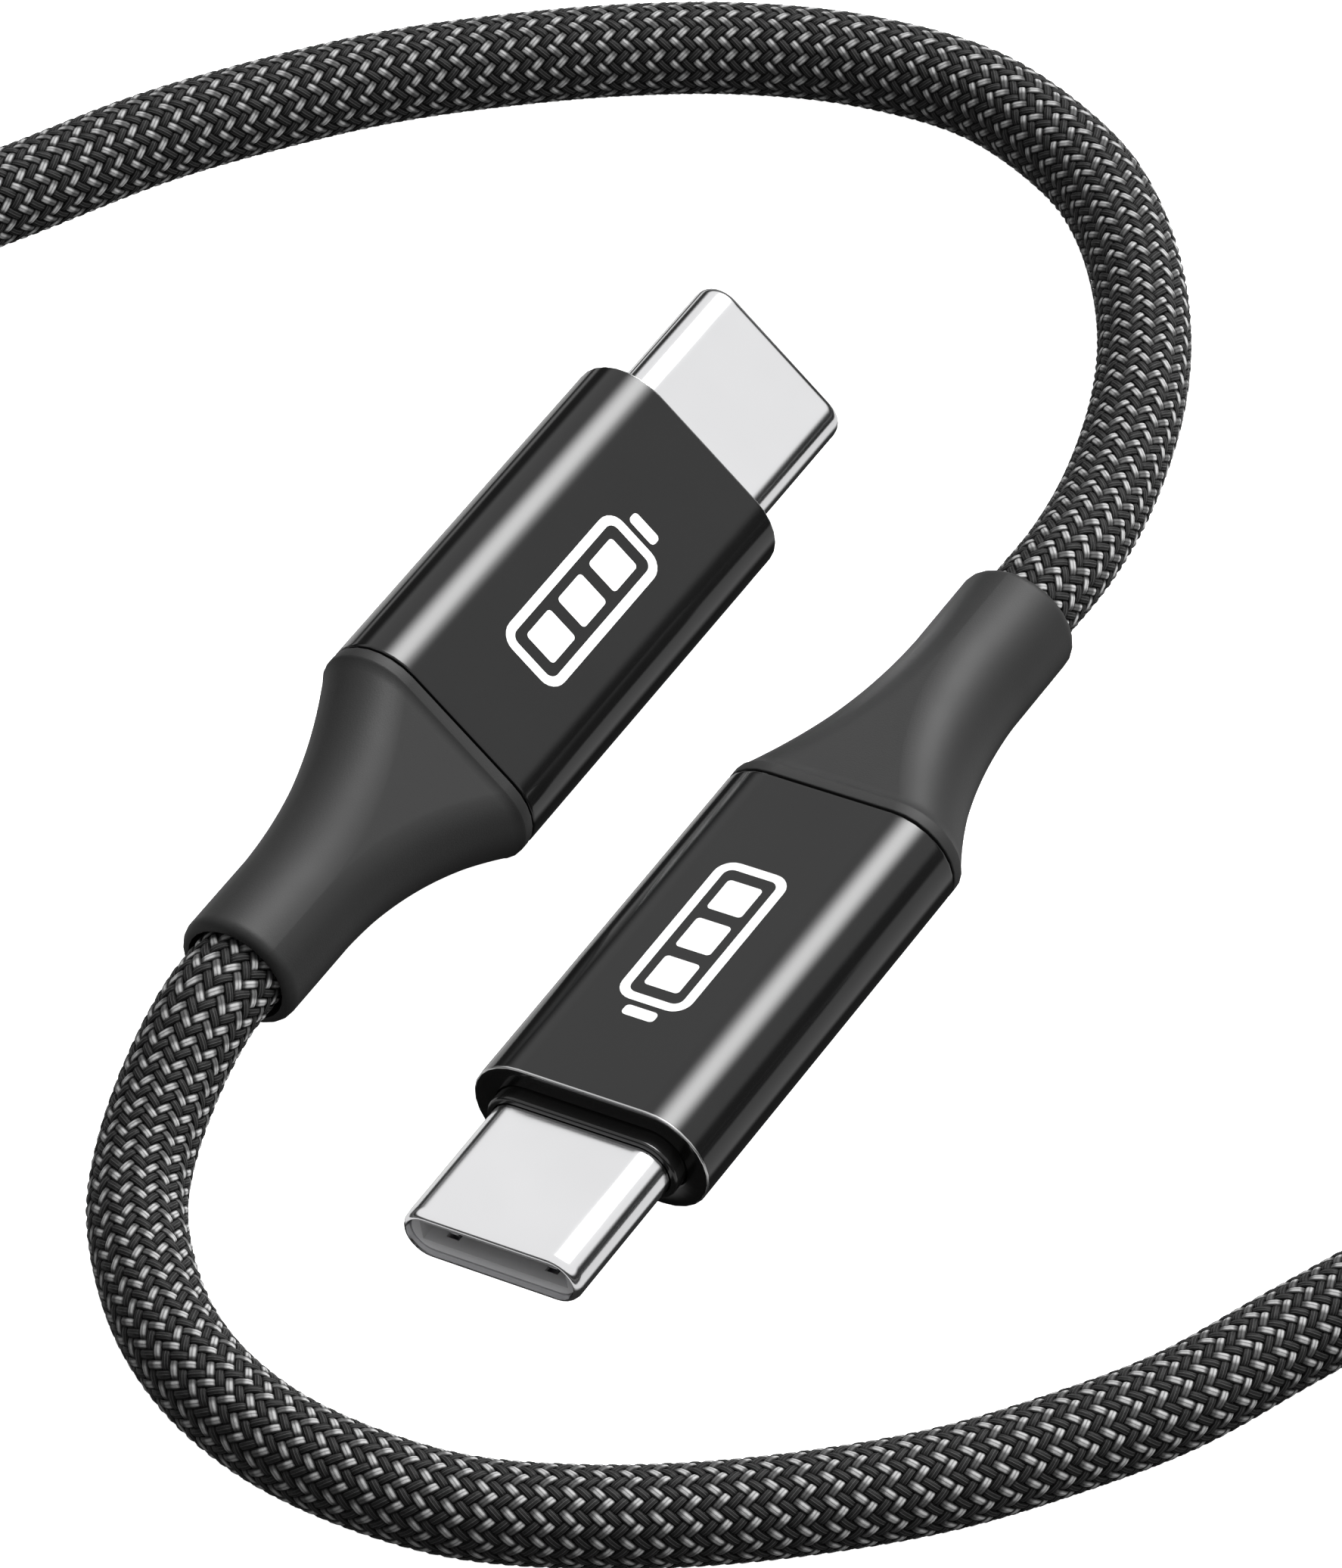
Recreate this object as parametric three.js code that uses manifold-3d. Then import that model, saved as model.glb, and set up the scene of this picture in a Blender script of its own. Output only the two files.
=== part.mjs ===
// A braided charging cable with the same reversible oval plug on both ends.
// Millimetres, +Z up. The two plugs lie side by side along Y, one pointing each way, and the
// origin is on the surface they rest on, under the middle of the pair. The cord runs from one
// boot round to the other, and its spare length is wound into a coil that a strap holds.
import * as THREE from "three";
import { mergeVertices } from "three/addons/utils/BufferGeometryUtils.js";
import Module from "manifold-3d";

// ---- Driving dimensions -------------------------------------------------------------------

// Where the plugs lie
const PAIR_WIDTH = 26.0; // across both plugs
const PLUG_STAGGER = 13.2; // between the middles of the two sleeves, along Y
const ROLL_A = THREE.MathUtils.degToRad(38); // plug A leans on its long edge
const ROLL_B = THREE.MathUtils.degToRad(-10);

// Plug shell: the standard oval plug
const SHELL_WIDTH = 8.25;
const SHELL_THICKNESS = 2.4;
const SHELL_WALL = 0.25;
const SHELL_REACH = 6.65; // in front of the collar
const SHELL_TAIL = 4.9; // behind the collar's front face

// Collar and housing sleeve
const COLLAR_REACH = 0.7; // in front of the sleeve
const COLLAR_WALL = 0.25;
const COLLAR_TAIL = 2.2; // behind the sleeve's front face
const SLEEVE_WIDTH = 10.9;
const SLEEVE_THICKNESS = 5.0;
const SLEEVE_LENGTH = 18.6;
const SLEEVE_WALL = 0.35;
const SLEEVE_FRONT_WALL = 0.8;
const SLEEVE_CHAMFER = 0.15;

// Boot
const BOOT_LENGTH = 14.4;
const BOOT_LIP = 0.6; // straight band next to the sleeve
const BOOT_FLARE_LENGTH = 10.5;
const BOOT_FLARE_POWER = 2.3;
const BOOT_COLLAR_WALL = 0.4;
const BOOT_END_ROUND = 0.45;
const BORE_GAP = 0.25; // between the cord and the boot's bore

// Cord, its inner jacket and the crimp
const CORD_DIAMETER = 4.0;
const JACKET_DIAMETER = 2.8;
const BRAID_IN_BOOT = 9.5; // how far the braid reaches into the boot
const FERRULE_WALL = 0.2;
const FERRULE_LENGTH = 3.0;
const WIRE_DIAMETER = 0.7;
const WIRE_STRAIGHT = 0.5; // out of the jacket, before it spreads
const WIRE_ON_CARD = 1.2; // length on its pad
const POWER_WIRE_ACROSS = 1.9;
const DATA_WIRE_ACROSS = 1.2;

// Inner mould and shield
const MOULD_WALL = 0.22;
const MOULD_REAR_BLOCK = 3.3;
const SHIELD_WALL = 0.15;

// Circuit card and its chip
const CARD_WIDTH = 7.0;
const CARD_THICKNESS = 0.6;
const CARD_LENGTH = 8.2;
const CHIP_SIZE = 2.0;
const CHIP_HEIGHT = 0.5;
const CARD_FRONT_ROOM = 0.3; // between the card and the latch bridge

// Contact insert
const INSERT_RECESS = 0.3; // behind the rim of the shell
const INSERT_LENGTH = 8.3;
const INSERT_SIDE_WALL = 0.45; // beside the slot
const INSERT_FACE_WALL = 0.425; // above and below the slot
const CHANNEL_DEPTH = 0.285; // each latch channel, beyond the slot's end
const CHANNEL_HEIGHT = 0.64;
const CHANNEL_FRONT = 0.95; // closed length of insert in front of a channel
const POCKET_INSET = 0.525; // from the slot's end
const POCKET_DEPTH = 0.24;
const POCKET_FRONT = 0.25; // closed length of insert in front of a spring pocket
const POCKET_LENGTH = 1.9;
const WINDOW_INSET = 0.2; // from either end of a spring pocket

// Contacts
const CONTACTS_IN_ROW = 12;
const CONTACT_MARGIN = 0.22; // between the last contact of a row and a latch arm
const CONTACT_WIDTH = 0.26;
const CONTACT_THICKNESS = 0.12;
const CONTACT_BAR_EDGE = 0.12; // beside the last contact
const CONTACT_BAR_LENGTH = 2.0;
const CONTACT_REACH = 4.2; // in front of the bar
const CONTACT_DIP = 0.1; // towards the other row, near the tip
const CONTACT_DIP_LENGTH = 1.6;
const CONTACT_ROOT = 0.2; // how far a contact is moulded into its bar
const CONTACT_ON_CARD = 0.7; // length of a tail on its pad

// Ground springs
const SPRING_THICKNESS = 0.12;
const SPRING_FINGER_INSET = 0.35; // from the end of the pocket
const SPRING_FINGER_WIDTH = 0.4;
const SPRING_BAND = 0.7; // the flat band that joins the fingers
const SPRING_FRONT_ROOM = 0.35; // in front of a finger's tip
const SPRING_LAP = 0.3; // root of a finger in the band
const SPRING_DIP = 0.14; // how far a finger reaches into the slot

// Side latches
const LATCH_THICKNESS = 0.25;
const LATCH_HEIGHT = 0.5;
const LATCH_HOOK = 0.15; // how far the hook stands out of its arm
const LATCH_HOOK_LENGTH = 0.7; // on the rear slope of the hook
const LATCH_TIP_ROOM = 0.6; // in front of an arm's tip
const LATCH_TIP_LENGTH = 0.65; // from the hook to the tip
const LATCH_SIDE_GAP = 0.025; // between an arm and the plane of the slot's end
const LATCH_ROOT_ROOM = 0.6; // behind the insert
const LATCH_BRIDGE_THICKNESS = 0.3;
const LATCH_BRIDGE_HEIGHT = 0.3;

// Spare length and its strap
const COIL_CENTRE = new THREE.Vector2(66.7, 2.0);
const COIL_MEAN_RADIUS = 20.0;
const TURNS_IN_LAYER = 2.3;
const COIL_LAYERS = 2;
const TURN_GAP = 0.1;
const STRAP_WIDTH = 9.0;
const STRAP_THICKNESS = 0.8;

// Clearances
const FIT_GAP = 0.1; // between nested parts
const THIN_GAP = 0.05; // between the contact insert, its springs and the shell
const FACE_GAP = 0.3; // between the cord's solids and what they meet, and between shield and shell
const CUT_PAST = 1.0; // how far a cutting tool runs past the face that it opens

// Roundness
const ARC_STEPS = 12; // on each half round of an oval
const CORD_SIDES = 10;
const WIRE_SIDES = 8;
const WIRE_STEPS = 6;
const BOOT_STEPS = 9; // along the flare
const END_ROUND_STEPS = 2;
const RING_STEPS = 44;
const RUN_A_STEPS = 20;
const RUN_B_STEPS = 50;

// The cord's route as it lies, from boot A to the coil and from the coil to boot B.
const RUN_A = [
  [-8.19, -17.4, 4.32],
  [-8.19, -18.6, 4.25],
  [-8.1, -20.4, 3.75],
  [-7.8, -22.6, 2.95],
  [-7.1, -25.1, 2.3],
  [-5.9, -27.6, 2.05],
  [-4.0, -29.9, 2.0],
  [-1.7, -31.9, 2.0],
  [0.8, -33.3, 2.0],
  [3.4, -34.1, 2.0],
  [6.0, -34.4, 2.0],
  [9.4, -34.2, 2.0],
  [12.9, -33.4, 2.0],
  [17.0, -31.4, 2.0],
  [20.9, -28.8, 2.0],
  [24.5, -25.8, 2.0],
  [27.8, -22.5, 2.0],
  [30.7, -18.7, 2.0],
  [33.3, -14.6, 2.0],
  [35.3, -9.9, 2.0],
  [38.5, -2.3, 2.0],
];
const RUN_B = [
  [67.9, -26.5, 3.1],
  [60.0, -32.7, 2.1],
  [52.0, -37.5, 2.0],
  [43.0, -41.8, 2.0],
  [34.0, -45.2, 2.0],
  [24.5, -48.2, 2.0],
  [15.0, -50.3, 2.0],
  [5.0, -51.5, 2.0],
  [-5.0, -51.3, 2.0],
  [-15.0, -49.6, 2.0],
  [-24.5, -45.8, 2.0],
  [-33.0, -40.0, 2.0],
  [-40.0, -32.4, 2.0],
  [-45.3, -23.0, 2.0],
  [-48.3, -12.5, 2.0],
  [-48.6, -1.5, 2.0],
  [-46.0, 9.0, 2.0],
  [-41.4, 18.0, 2.0],
  [-38.8, 22.8, 2.0],
  [-35.7, 27.2, 2.0],
  [-32.3, 31.3, 2.0],
  [-28.5, 34.9, 2.0],
  [-24.4, 38.2, 2.0],
  [-20.0, 41.0, 2.0],
  [-15.2, 43.0, 2.0],
  [-9.8, 43.8, 2.0],
  [-4.1, 42.2, 2.0],
  [-1.3, 40.3, 2.0],
  [1.2, 37.7, 2.0],
  [3.3, 34.7, 2.0],
  [4.9, 31.5, 2.05],
  [6.1, 28.1, 2.15],
  [7.0, 24.6, 2.4],
  [7.55, 21.0, 2.82],
  [7.61, 18.8, 2.98],
  [7.61, 17.4, 3.01],
];

// ---- Materials ----------------------------------------------------------------------------

function finish(color, roughness, metalness) {
  return new THREE.MeshStandardMaterial({ color, roughness, metalness });
}

const steel = finish(0xd8d9dc, 0.16, 1.0);
const springSteel = finish(0xc3c5c9, 0.25, 1.0);
const greyPlastic = finish(0x8f9196, 0.5, 0.0);
const gold = finish(0xd9b25a, 0.25, 1.0);
const glossBlack = finish(0x0b0b0d, 0.12, 0.4);
const softBlack = finish(0x2a2a2c, 0.62, 0.0);
const mouldBlack = finish(0x17171a, 0.5, 0.0);
const tinPlate = finish(0xb9bcc0, 0.35, 1.0);
const cardGreen = finish(0x14532d, 0.55, 0.0);
const chipBlack = finish(0x101114, 0.4, 0.0);
const copper = finish(0xb87333, 0.35, 1.0);
const braid = finish(0x1c1d20, 0.75, 0.0);
const strapBlack = finish(0x18181a, 0.9, 0.0);
const wireColours = {
  power: finish(0xb01e1e, 0.45, 0.0),
  ground: finish(0x141414, 0.45, 0.0),
  data_positive: finish(0x1f7a3a, 0.45, 0.0),
  data_negative: finish(0xe8e8e6, 0.45, 0.0),
};

// ---- Outlines and solids ------------------------------------------------------------------

const wasm = await Module();
wasm.setup();

const LEAST_FLAT = 0.02; // half the flat of a nearly round oval, which keeps its points apart

// An oval with straight top and bottom and half-round ends, counter-clockwise from above.
function oval(width, thickness) {
  const radius = thickness / 2;
  const reach = Math.max(width / 2 - radius, LEAST_FLAT);
  const points = [];
  for (const side of [1, -1]) {
    for (let i = 0; i <= ARC_STEPS; i++) {
      const angle = Math.PI * (i / ARC_STEPS - 0.5);
      const x = side * (reach + radius * Math.cos(angle));
      points.push(new THREE.Vector2(x, side * radius * Math.sin(angle)));
    }
  }
  return points;
}

function rectangle(width, height) {
  const [x, y] = [width / 2, height / 2];
  return [
    new THREE.Vector2(-x, -y),
    new THREE.Vector2(x, -y),
    new THREE.Vector2(x, y),
    new THREE.Vector2(-x, y),
  ];
}

// A bar whose section lies across the plug and which runs along it, from rear to front.
function alongPlug(outline, rear, front, hole = null) {
  const shape = new THREE.Shape(outline);
  if (hole) shape.holes.push(new THREE.Path(hole));
  const bar = new THREE.ExtrudeGeometry(shape, { depth: front - rear, bevelEnabled: false });
  return bar.rotateX(Math.PI / 2).translate(0, front, 0);
}

function block(width, rear, front, low, high, x = 0) {
  const box = new THREE.BoxGeometry(width, front - rear, high - low);
  return box.translate(x, (rear + front) / 2, (low + high) / 2);
}

// A side view of outline points (y, z), given a width across the plug.
function sideProfile(points, width, x = 0) {
  const shape = new THREE.Shape(points.map(([y, z]) => new THREE.Vector2(y, z)));
  const strip = new THREE.ExtrudeGeometry(shape, { depth: width, bevelEnabled: false });
  const turn = new THREE.Matrix4().makeBasis(
    new THREE.Vector3(0, 1, 0),
    new THREE.Vector3(0, 0, 1),
    new THREE.Vector3(1, 0, 0),
  );
  return strip.applyMatrix4(turn).translate(x - width / 2, 0, 0);
}

// A closed skin over rings of equal point counts, each a flat outline across the plug.
function loft(rings) {
  const count = rings[0].outline.length;
  const places = [];
  for (const { y, outline } of rings) {
    for (const p of outline) places.push(p.x, y, p.y);
  }
  places.push(0, rings[0].y, 0, 0, rings[rings.length - 1].y, 0);
  const rearHub = rings.length * count;
  const faces = [];
  for (let i = 0; i < count; i++) {
    const next = (i + 1) % count;
    for (let r = 0; r + 1 < rings.length; r++) {
      const [a, b] = [r * count + i, r * count + next];
      faces.push(a, a + count, b, b, a + count, b + count);
    }
    const last = (rings.length - 1) * count;
    faces.push(rearHub, i, next, rearHub + 1, last + next, last + i);
  }
  const skin = new THREE.BufferGeometry();
  skin.setAttribute("position", new THREE.Float32BufferAttribute(places, 3));
  skin.setIndex(faces);
  return skin;
}

function toSolid(geometry) {
  const bare = geometry.clone();
  bare.deleteAttribute("normal");
  bare.deleteAttribute("uv");
  const merged = mergeVertices(bare, 1e-5);
  const mesh = new wasm.Mesh({
    numProp: 3,
    vertProperties: merged.attributes.position.array,
    triVerts: new Uint32Array(merged.index.array),
  });
  return new wasm.Manifold(mesh);
}

function toGeometry(solid) {
  const mesh = solid.getMesh();
  const geometry = new THREE.BufferGeometry();
  geometry.setAttribute("position", new THREE.BufferAttribute(mesh.vertProperties, 3));
  geometry.setIndex(new THREE.BufferAttribute(mesh.triVerts, 1));
  return geometry;
}

function joined(geometries) {
  return toGeometry(geometries.map(toSolid).reduce((all, one) => all.add(one)));
}

function cut(geometry, tools) {
  const solid = tools.map(toSolid).reduce((rest, tool) => rest.subtract(tool), toSolid(geometry));
  return toGeometry(solid);
}

// A turned part about the plug's axis, from profile points (radius, y).
function turned(points, steps = 2 * ARC_STEPS) {
  return new THREE.LatheGeometry(
    points.map(([r, y]) => new THREE.Vector2(r, y)),
    steps,
  );
}

// ---- Places along a plug, measured from the middle of its sleeve, tip forwards ---------------

const sleeveFront = SLEEVE_LENGTH / 2;
const sleeveRear = -SLEEVE_LENGTH / 2;
const collarFront = sleeveFront + COLLAR_REACH;
const shellTip = collarFront + SHELL_REACH;
const shellRear = collarFront - SHELL_TAIL;
const insertFront = shellTip - INSERT_RECESS;
const insertRear = insertFront - INSERT_LENGTH;
const bootFront = sleeveRear - FIT_GAP;
const bootRear = sleeveRear - BOOT_LENGTH;
const mouldFront = sleeveFront - SLEEVE_FRONT_WALL - FIT_GAP;
const mouldRear = sleeveRear + FIT_GAP;
const shieldRear = mouldRear + MOULD_REAR_BLOCK + FIT_GAP;
const shieldFront = shellRear - FACE_GAP;
const barRear = insertRear + FIT_GAP;
const barFront = barRear + CONTACT_BAR_LENGTH;
const latchRoot = insertRear - LATCH_ROOT_ROOM;
const latchTip = insertFront - CHANNEL_FRONT - LATCH_TIP_ROOM;
const hookMiddle = latchTip - LATCH_TIP_LENGTH;
const cardFront = latchRoot - LATCH_BRIDGE_THICKNESS - CARD_FRONT_ROOM;
const cardRear = cardFront - CARD_LENGTH;
const ferruleRear = mouldRear + FIT_GAP;
const ferruleFront = ferruleRear + FERRULE_LENGTH;
const jacketFront = ferruleFront + FIT_GAP;

const sleeveInnerWidth = SLEEVE_WIDTH - 2 * SLEEVE_WALL;
const sleeveInnerThickness = SLEEVE_THICKNESS - 2 * SLEEVE_WALL;
const mouldWidth = sleeveInnerWidth - 2 * FIT_GAP;
const mouldThickness = sleeveInnerThickness - 2 * FIT_GAP;
const shieldWidth = mouldWidth - 2 * (MOULD_WALL + FIT_GAP);
const shieldThickness = mouldThickness - 2 * (MOULD_WALL + FIT_GAP);
const collarInnerWidth = SHELL_WIDTH + 2 * THIN_GAP;
const collarInnerThickness = SHELL_THICKNESS + 2 * THIN_GAP;
const collarWidth = collarInnerWidth + 2 * COLLAR_WALL;
const collarThickness = collarInnerThickness + 2 * COLLAR_WALL;
const insertWidth = SHELL_WIDTH - 2 * (SHELL_WALL + THIN_GAP);
const insertThickness = SHELL_THICKNESS - 2 * (SHELL_WALL + THIN_GAP);
const slotEnd = insertWidth / 2 - INSERT_SIDE_WALL;
const slotTop = insertThickness / 2 - INSERT_FACE_WALL;
const channelEnd = slotEnd + CHANNEL_DEPTH;
const armOutside = slotEnd - LATCH_SIDE_GAP;
const armInside = armOutside - LATCH_THICKNESS;
const contactRowWidth = 2 * (armInside - CONTACT_MARGIN) - CONTACT_WIDTH;
const contactPitch = contactRowWidth / (CONTACTS_IN_ROW - 1);
const contactBarWidth = contactRowWidth + CONTACT_WIDTH + 2 * CONTACT_BAR_EDGE;
const pocketWidth = 2 * (slotEnd - POCKET_INSET);
const pocketFront = insertFront - POCKET_FRONT;
const pocketRear = pocketFront - POCKET_LENGTH;
const fingerMiddle = pocketWidth / 2 - SPRING_FINGER_INSET - SPRING_FINGER_WIDTH / 2;
const boreDiameter = CORD_DIAMETER + 2 * BORE_GAP;
const bootCollarDiameter = boreDiameter + 2 * BOOT_COLLAR_WALL;
const ferruleInner = JACKET_DIAMETER / 2 + THIN_GAP;
const ferruleOuter = ferruleInner + FERRULE_WALL;

// ---- Plug pieces --------------------------------------------------------------------------

function plugShell() {
  const inner = oval(SHELL_WIDTH - 2 * SHELL_WALL, SHELL_THICKNESS - 2 * SHELL_WALL);
  return alongPlug(oval(SHELL_WIDTH, SHELL_THICKNESS), shellRear, shellTip, inner);
}

// The seats that the shell and its collar take in what is round them, from their rear ends on.
function collarSeat() {
  const outline = oval(collarWidth + 2 * THIN_GAP, collarThickness + 2 * THIN_GAP);
  return alongPlug(outline, sleeveFront - COLLAR_TAIL - FIT_GAP, collarFront + CUT_PAST);
}

function shellSeat() {
  const outline = oval(collarInnerWidth, collarInnerThickness);
  return alongPlug(outline, shellRear - FIT_GAP, shellTip + CUT_PAST);
}

// The insert: an oval sleeve with the tongue slot, a channel each side for the latches, and
// pockets with windows above and below for the ground springs.
function contactInsert() {
  const body = alongPlug(oval(insertWidth, insertThickness), insertRear, insertFront);
  const rear = insertRear - CUT_PAST;
  const slot = block(2 * slotEnd, rear, insertFront + CUT_PAST, -slotTop, slotTop);
  const channelTop = CHANNEL_HEIGHT / 2;
  const channels = block(2 * channelEnd, rear, insertFront - CHANNEL_FRONT, -channelTop, channelTop);
  const tools = [slot, channels];
  const windowRear = pocketRear + WINDOW_INSET;
  const windowFront = pocketFront - WINDOW_INSET;
  const windowWidth = SPRING_FINGER_WIDTH + 2 * FIT_GAP;
  for (const side of [1, -1]) {
    const floor = side * (insertThickness / 2 - POCKET_DEPTH);
    const outside = side * insertThickness;
    const [low, high] = [Math.min(floor, outside), Math.max(floor, outside)];
    tools.push(block(pocketWidth, pocketRear, pocketFront, low, high));
    const [from, to] = [Math.min(0, outside), Math.max(0, outside)];
    for (const hand of [1, -1]) {
      tools.push(block(windowWidth, windowRear, windowFront, from, to, hand * fingerMiddle));
    }
  }
  return cut(body, tools);
}

// One row of contacts moulded into its bar. Side 1 is the upper row and -1 the lower. In front of
// the bar each contact dips towards the other row, and behind it steps out to its pad on the card.
function contactWafer(side) {
  const thick = CONTACT_THICKNESS;
  const top = slotTop - THIN_GAP;
  const low = top - thick;
  const barLow = THIN_GAP;
  const tip = barFront + CONTACT_REACH;
  const dip = tip - CONTACT_DIP_LENGTH;
  const dipLowest = (dip + tip) / 2;
  const beam = [
    [barFront - CONTACT_ROOT, low],
    [dip, low],
    [dipLowest, low - CONTACT_DIP],
    [tip, low],
    [tip, top],
    [dipLowest, top - CONTACT_DIP],
    [dip, top],
    [barFront - CONTACT_ROOT, top],
  ];
  const padLow = CARD_THICKNESS / 2 + THIN_GAP;
  const tailRear = cardFront - CONTACT_ON_CARD;
  const stepFront = insertRear - THIN_GAP;
  const stepRear = latchRoot;
  const tail = [
    [tailRear, padLow],
    [stepRear, padLow],
    [stepFront, low],
    [barRear + CONTACT_ROOT, low],
    [barRear + CONTACT_ROOT, top],
    [stepFront, top],
    [stepRear, padLow + thick],
    [tailRear, padLow + thick],
  ];
  const pieces = [block(contactBarWidth, barRear, barFront, barLow, top)];
  for (let i = 0; i < CONTACTS_IN_ROW; i++) {
    const x = (i - (CONTACTS_IN_ROW - 1) / 2) * contactPitch;
    pieces.push(sideProfile(beam, CONTACT_WIDTH, x), sideProfile(tail, CONTACT_WIDTH, x));
  }
  const wafer = joined(pieces);
  return side > 0 ? wafer : wafer.rotateY(Math.PI);
}

// A stamped ground spring: a band in its pocket with two fingers bent in through the windows.
function groundSpring(side) {
  const thick = SPRING_THICKNESS;
  const bandLow = insertThickness / 2 - (POCKET_DEPTH + thick) / 2;
  const bandTop = bandLow + thick;
  const front = pocketFront - SPRING_FRONT_ROOM;
  const rear = pocketRear + FIT_GAP;
  const bend = rear + SPRING_BAND;
  const tipLow = slotTop - SPRING_DIP;
  const finger = [
    [bend - SPRING_LAP, bandLow],
    [bend, bandLow],
    [front - thick, tipLow],
    [front, tipLow],
    [front, tipLow + thick],
    [bend + thick, bandTop],
    [bend - SPRING_LAP, bandTop],
  ];
  const pieces = [block(pocketWidth - 2 * FIT_GAP, rear, bend - SPRING_LAP / 3, bandLow, bandTop)];
  for (const hand of [1, -1]) {
    pieces.push(sideProfile(finger, SPRING_FINGER_WIDTH, hand * fingerMiddle));
  }
  const spring = joined(pieces);
  return side > 0 ? spring : spring.rotateY(Math.PI);
}

// A latch arm, with its hook turned in towards the slot. Hand 1 is the right arm and -1 the left.
function latchArm(hand) {
  const outline = [
    [armInside, latchRoot],
    [armOutside, latchRoot],
    [armOutside, latchTip],
    [armInside, latchTip],
    [armInside - LATCH_HOOK, hookMiddle],
    [armInside, hookMiddle - LATCH_HOOK_LENGTH],
  ];
  const shape = new THREE.Shape(outline.map(([x, y]) => new THREE.Vector2(x, y)));
  const arm = new THREE.ExtrudeGeometry(shape, { depth: LATCH_HEIGHT, bevelEnabled: false });
  arm.translate(0, 0, -LATCH_HEIGHT / 2);
  return hand > 0 ? arm : arm.rotateY(Math.PI);
}

function latchBridge() {
  const front = latchRoot - THIN_GAP;
  const half = LATCH_BRIDGE_HEIGHT / 2;
  return block(2 * armOutside, front - LATCH_BRIDGE_THICKNESS, front, -half, half);
}

function circuitCard() {
  const half = CARD_THICKNESS / 2;
  return block(CARD_WIDTH, cardRear, cardFront, -half, half);
}

function markerChip() {
  const low = CARD_THICKNESS / 2 + THIN_GAP;
  const middle = (cardRear + cardFront) / 2;
  return block(CHIP_SIZE, middle - CHIP_SIZE / 2, middle + CHIP_SIZE / 2, low, low + CHIP_HEIGHT);
}

// Half of the stamped shield. Side 1 is the upper half and -1 the lower.
function shieldHalf(side) {
  const inner = oval(shieldWidth - 2 * SHIELD_WALL, shieldThickness - 2 * SHIELD_WALL);
  const tube = alongPlug(oval(shieldWidth, shieldThickness), shieldRear, shieldFront, inner);
  const rear = shieldRear - CUT_PAST;
  const away = block(2 * shieldWidth, rear, shieldFront + CUT_PAST, -shieldThickness, THIN_GAP);
  const half = cut(tube, [away]);
  return side > 0 ? half : half.rotateY(Math.PI);
}

// The mould: a thin-walled cup round the shield with a solid block round the crimp.
function innerMould() {
  const body = alongPlug(oval(mouldWidth, mouldThickness), mouldRear, mouldFront);
  const cavity = alongPlug(
    oval(mouldWidth - 2 * MOULD_WALL, mouldThickness - 2 * MOULD_WALL),
    mouldRear + MOULD_REAR_BLOCK,
    mouldFront + CUT_PAST,
  );
  const boreRadius = ferruleOuter + THIN_GAP;
  const bore = turned([
    [0, mouldRear - CUT_PAST],
    [boreRadius, mouldRear - CUT_PAST],
    [boreRadius, mouldRear + MOULD_REAR_BLOCK + CUT_PAST],
    [0, mouldRear + MOULD_REAR_BLOCK + CUT_PAST],
  ]);
  return cut(body, [cavity, bore, collarSeat(), shellSeat()]);
}

function crimpFerrule() {
  return turned([
    [ferruleInner, ferruleRear],
    [ferruleOuter, ferruleRear],
    [ferruleOuter, ferruleFront],
    [ferruleInner, ferruleFront],
    [ferruleInner, ferruleRear],
  ]);
}

// The end of the cord in the boot: the braid stops part way and the inner jacket goes on.
function cableEnd() {
  const step = bootRear + BRAID_IN_BOOT;
  return turned([
    [0, bootRear],
    [CORD_DIAMETER / 2, bootRear],
    [CORD_DIAMETER / 2, step],
    [JACKET_DIAMETER / 2, step],
    [JACKET_DIAMETER / 2, jacketFront],
    [0, jacketFront],
  ]);
}

// A core wire from the jacket's end to its pad at the rear of the card.
function coreWire(across, side) {
  const start = jacketFront + FIT_GAP;
  const seat = side * (CARD_THICKNESS / 2 + WIRE_DIAMETER / 2 + THIN_GAP);
  const root = JACKET_DIAMETER / 4;
  const rootAcross = Math.sign(across) * root;
  const path = new THREE.CatmullRomCurve3([
    new THREE.Vector3(rootAcross, start, side * root),
    new THREE.Vector3(rootAcross, start + WIRE_STRAIGHT, side * root),
    new THREE.Vector3(across, cardRear - FIT_GAP, seat),
    new THREE.Vector3(across, cardRear + WIRE_ON_CARD, seat),
  ]);
  const round = new THREE.Shape().absarc(0, 0, WIRE_DIAMETER / 2, 0, 2 * Math.PI);
  return new THREE.ExtrudeGeometry(round, {
    steps: WIRE_STEPS,
    curveSegments: WIRE_SIDES / 2,
    bevelEnabled: false,
    extrudePath: path,
  });
}

function frontCollar() {
  return alongPlug(
    oval(collarWidth, collarThickness),
    sleeveFront - COLLAR_TAIL,
    collarFront,
    oval(collarInnerWidth, collarInnerThickness),
  );
}

// The sleeve: a drawn cup with a polished front edge and a hole for the collar.
function housingSleeve() {
  const whole = oval(SLEEVE_WIDTH, SLEEVE_THICKNESS);
  const edge = oval(SLEEVE_WIDTH - 2 * SLEEVE_CHAMFER, SLEEVE_THICKNESS - 2 * SLEEVE_CHAMFER);
  const body = loft([
    { y: sleeveRear, outline: whole },
    { y: sleeveFront - SLEEVE_CHAMFER, outline: whole },
    { y: sleeveFront, outline: edge },
  ]);
  const cavityOutline = oval(sleeveInnerWidth, sleeveInnerThickness);
  const cavityFront = sleeveFront - SLEEVE_FRONT_WALL;
  const cavity = alongPlug(cavityOutline, sleeveRear - CUT_PAST, cavityFront);
  return cut(body, [cavity, collarSeat()]);
}

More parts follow.
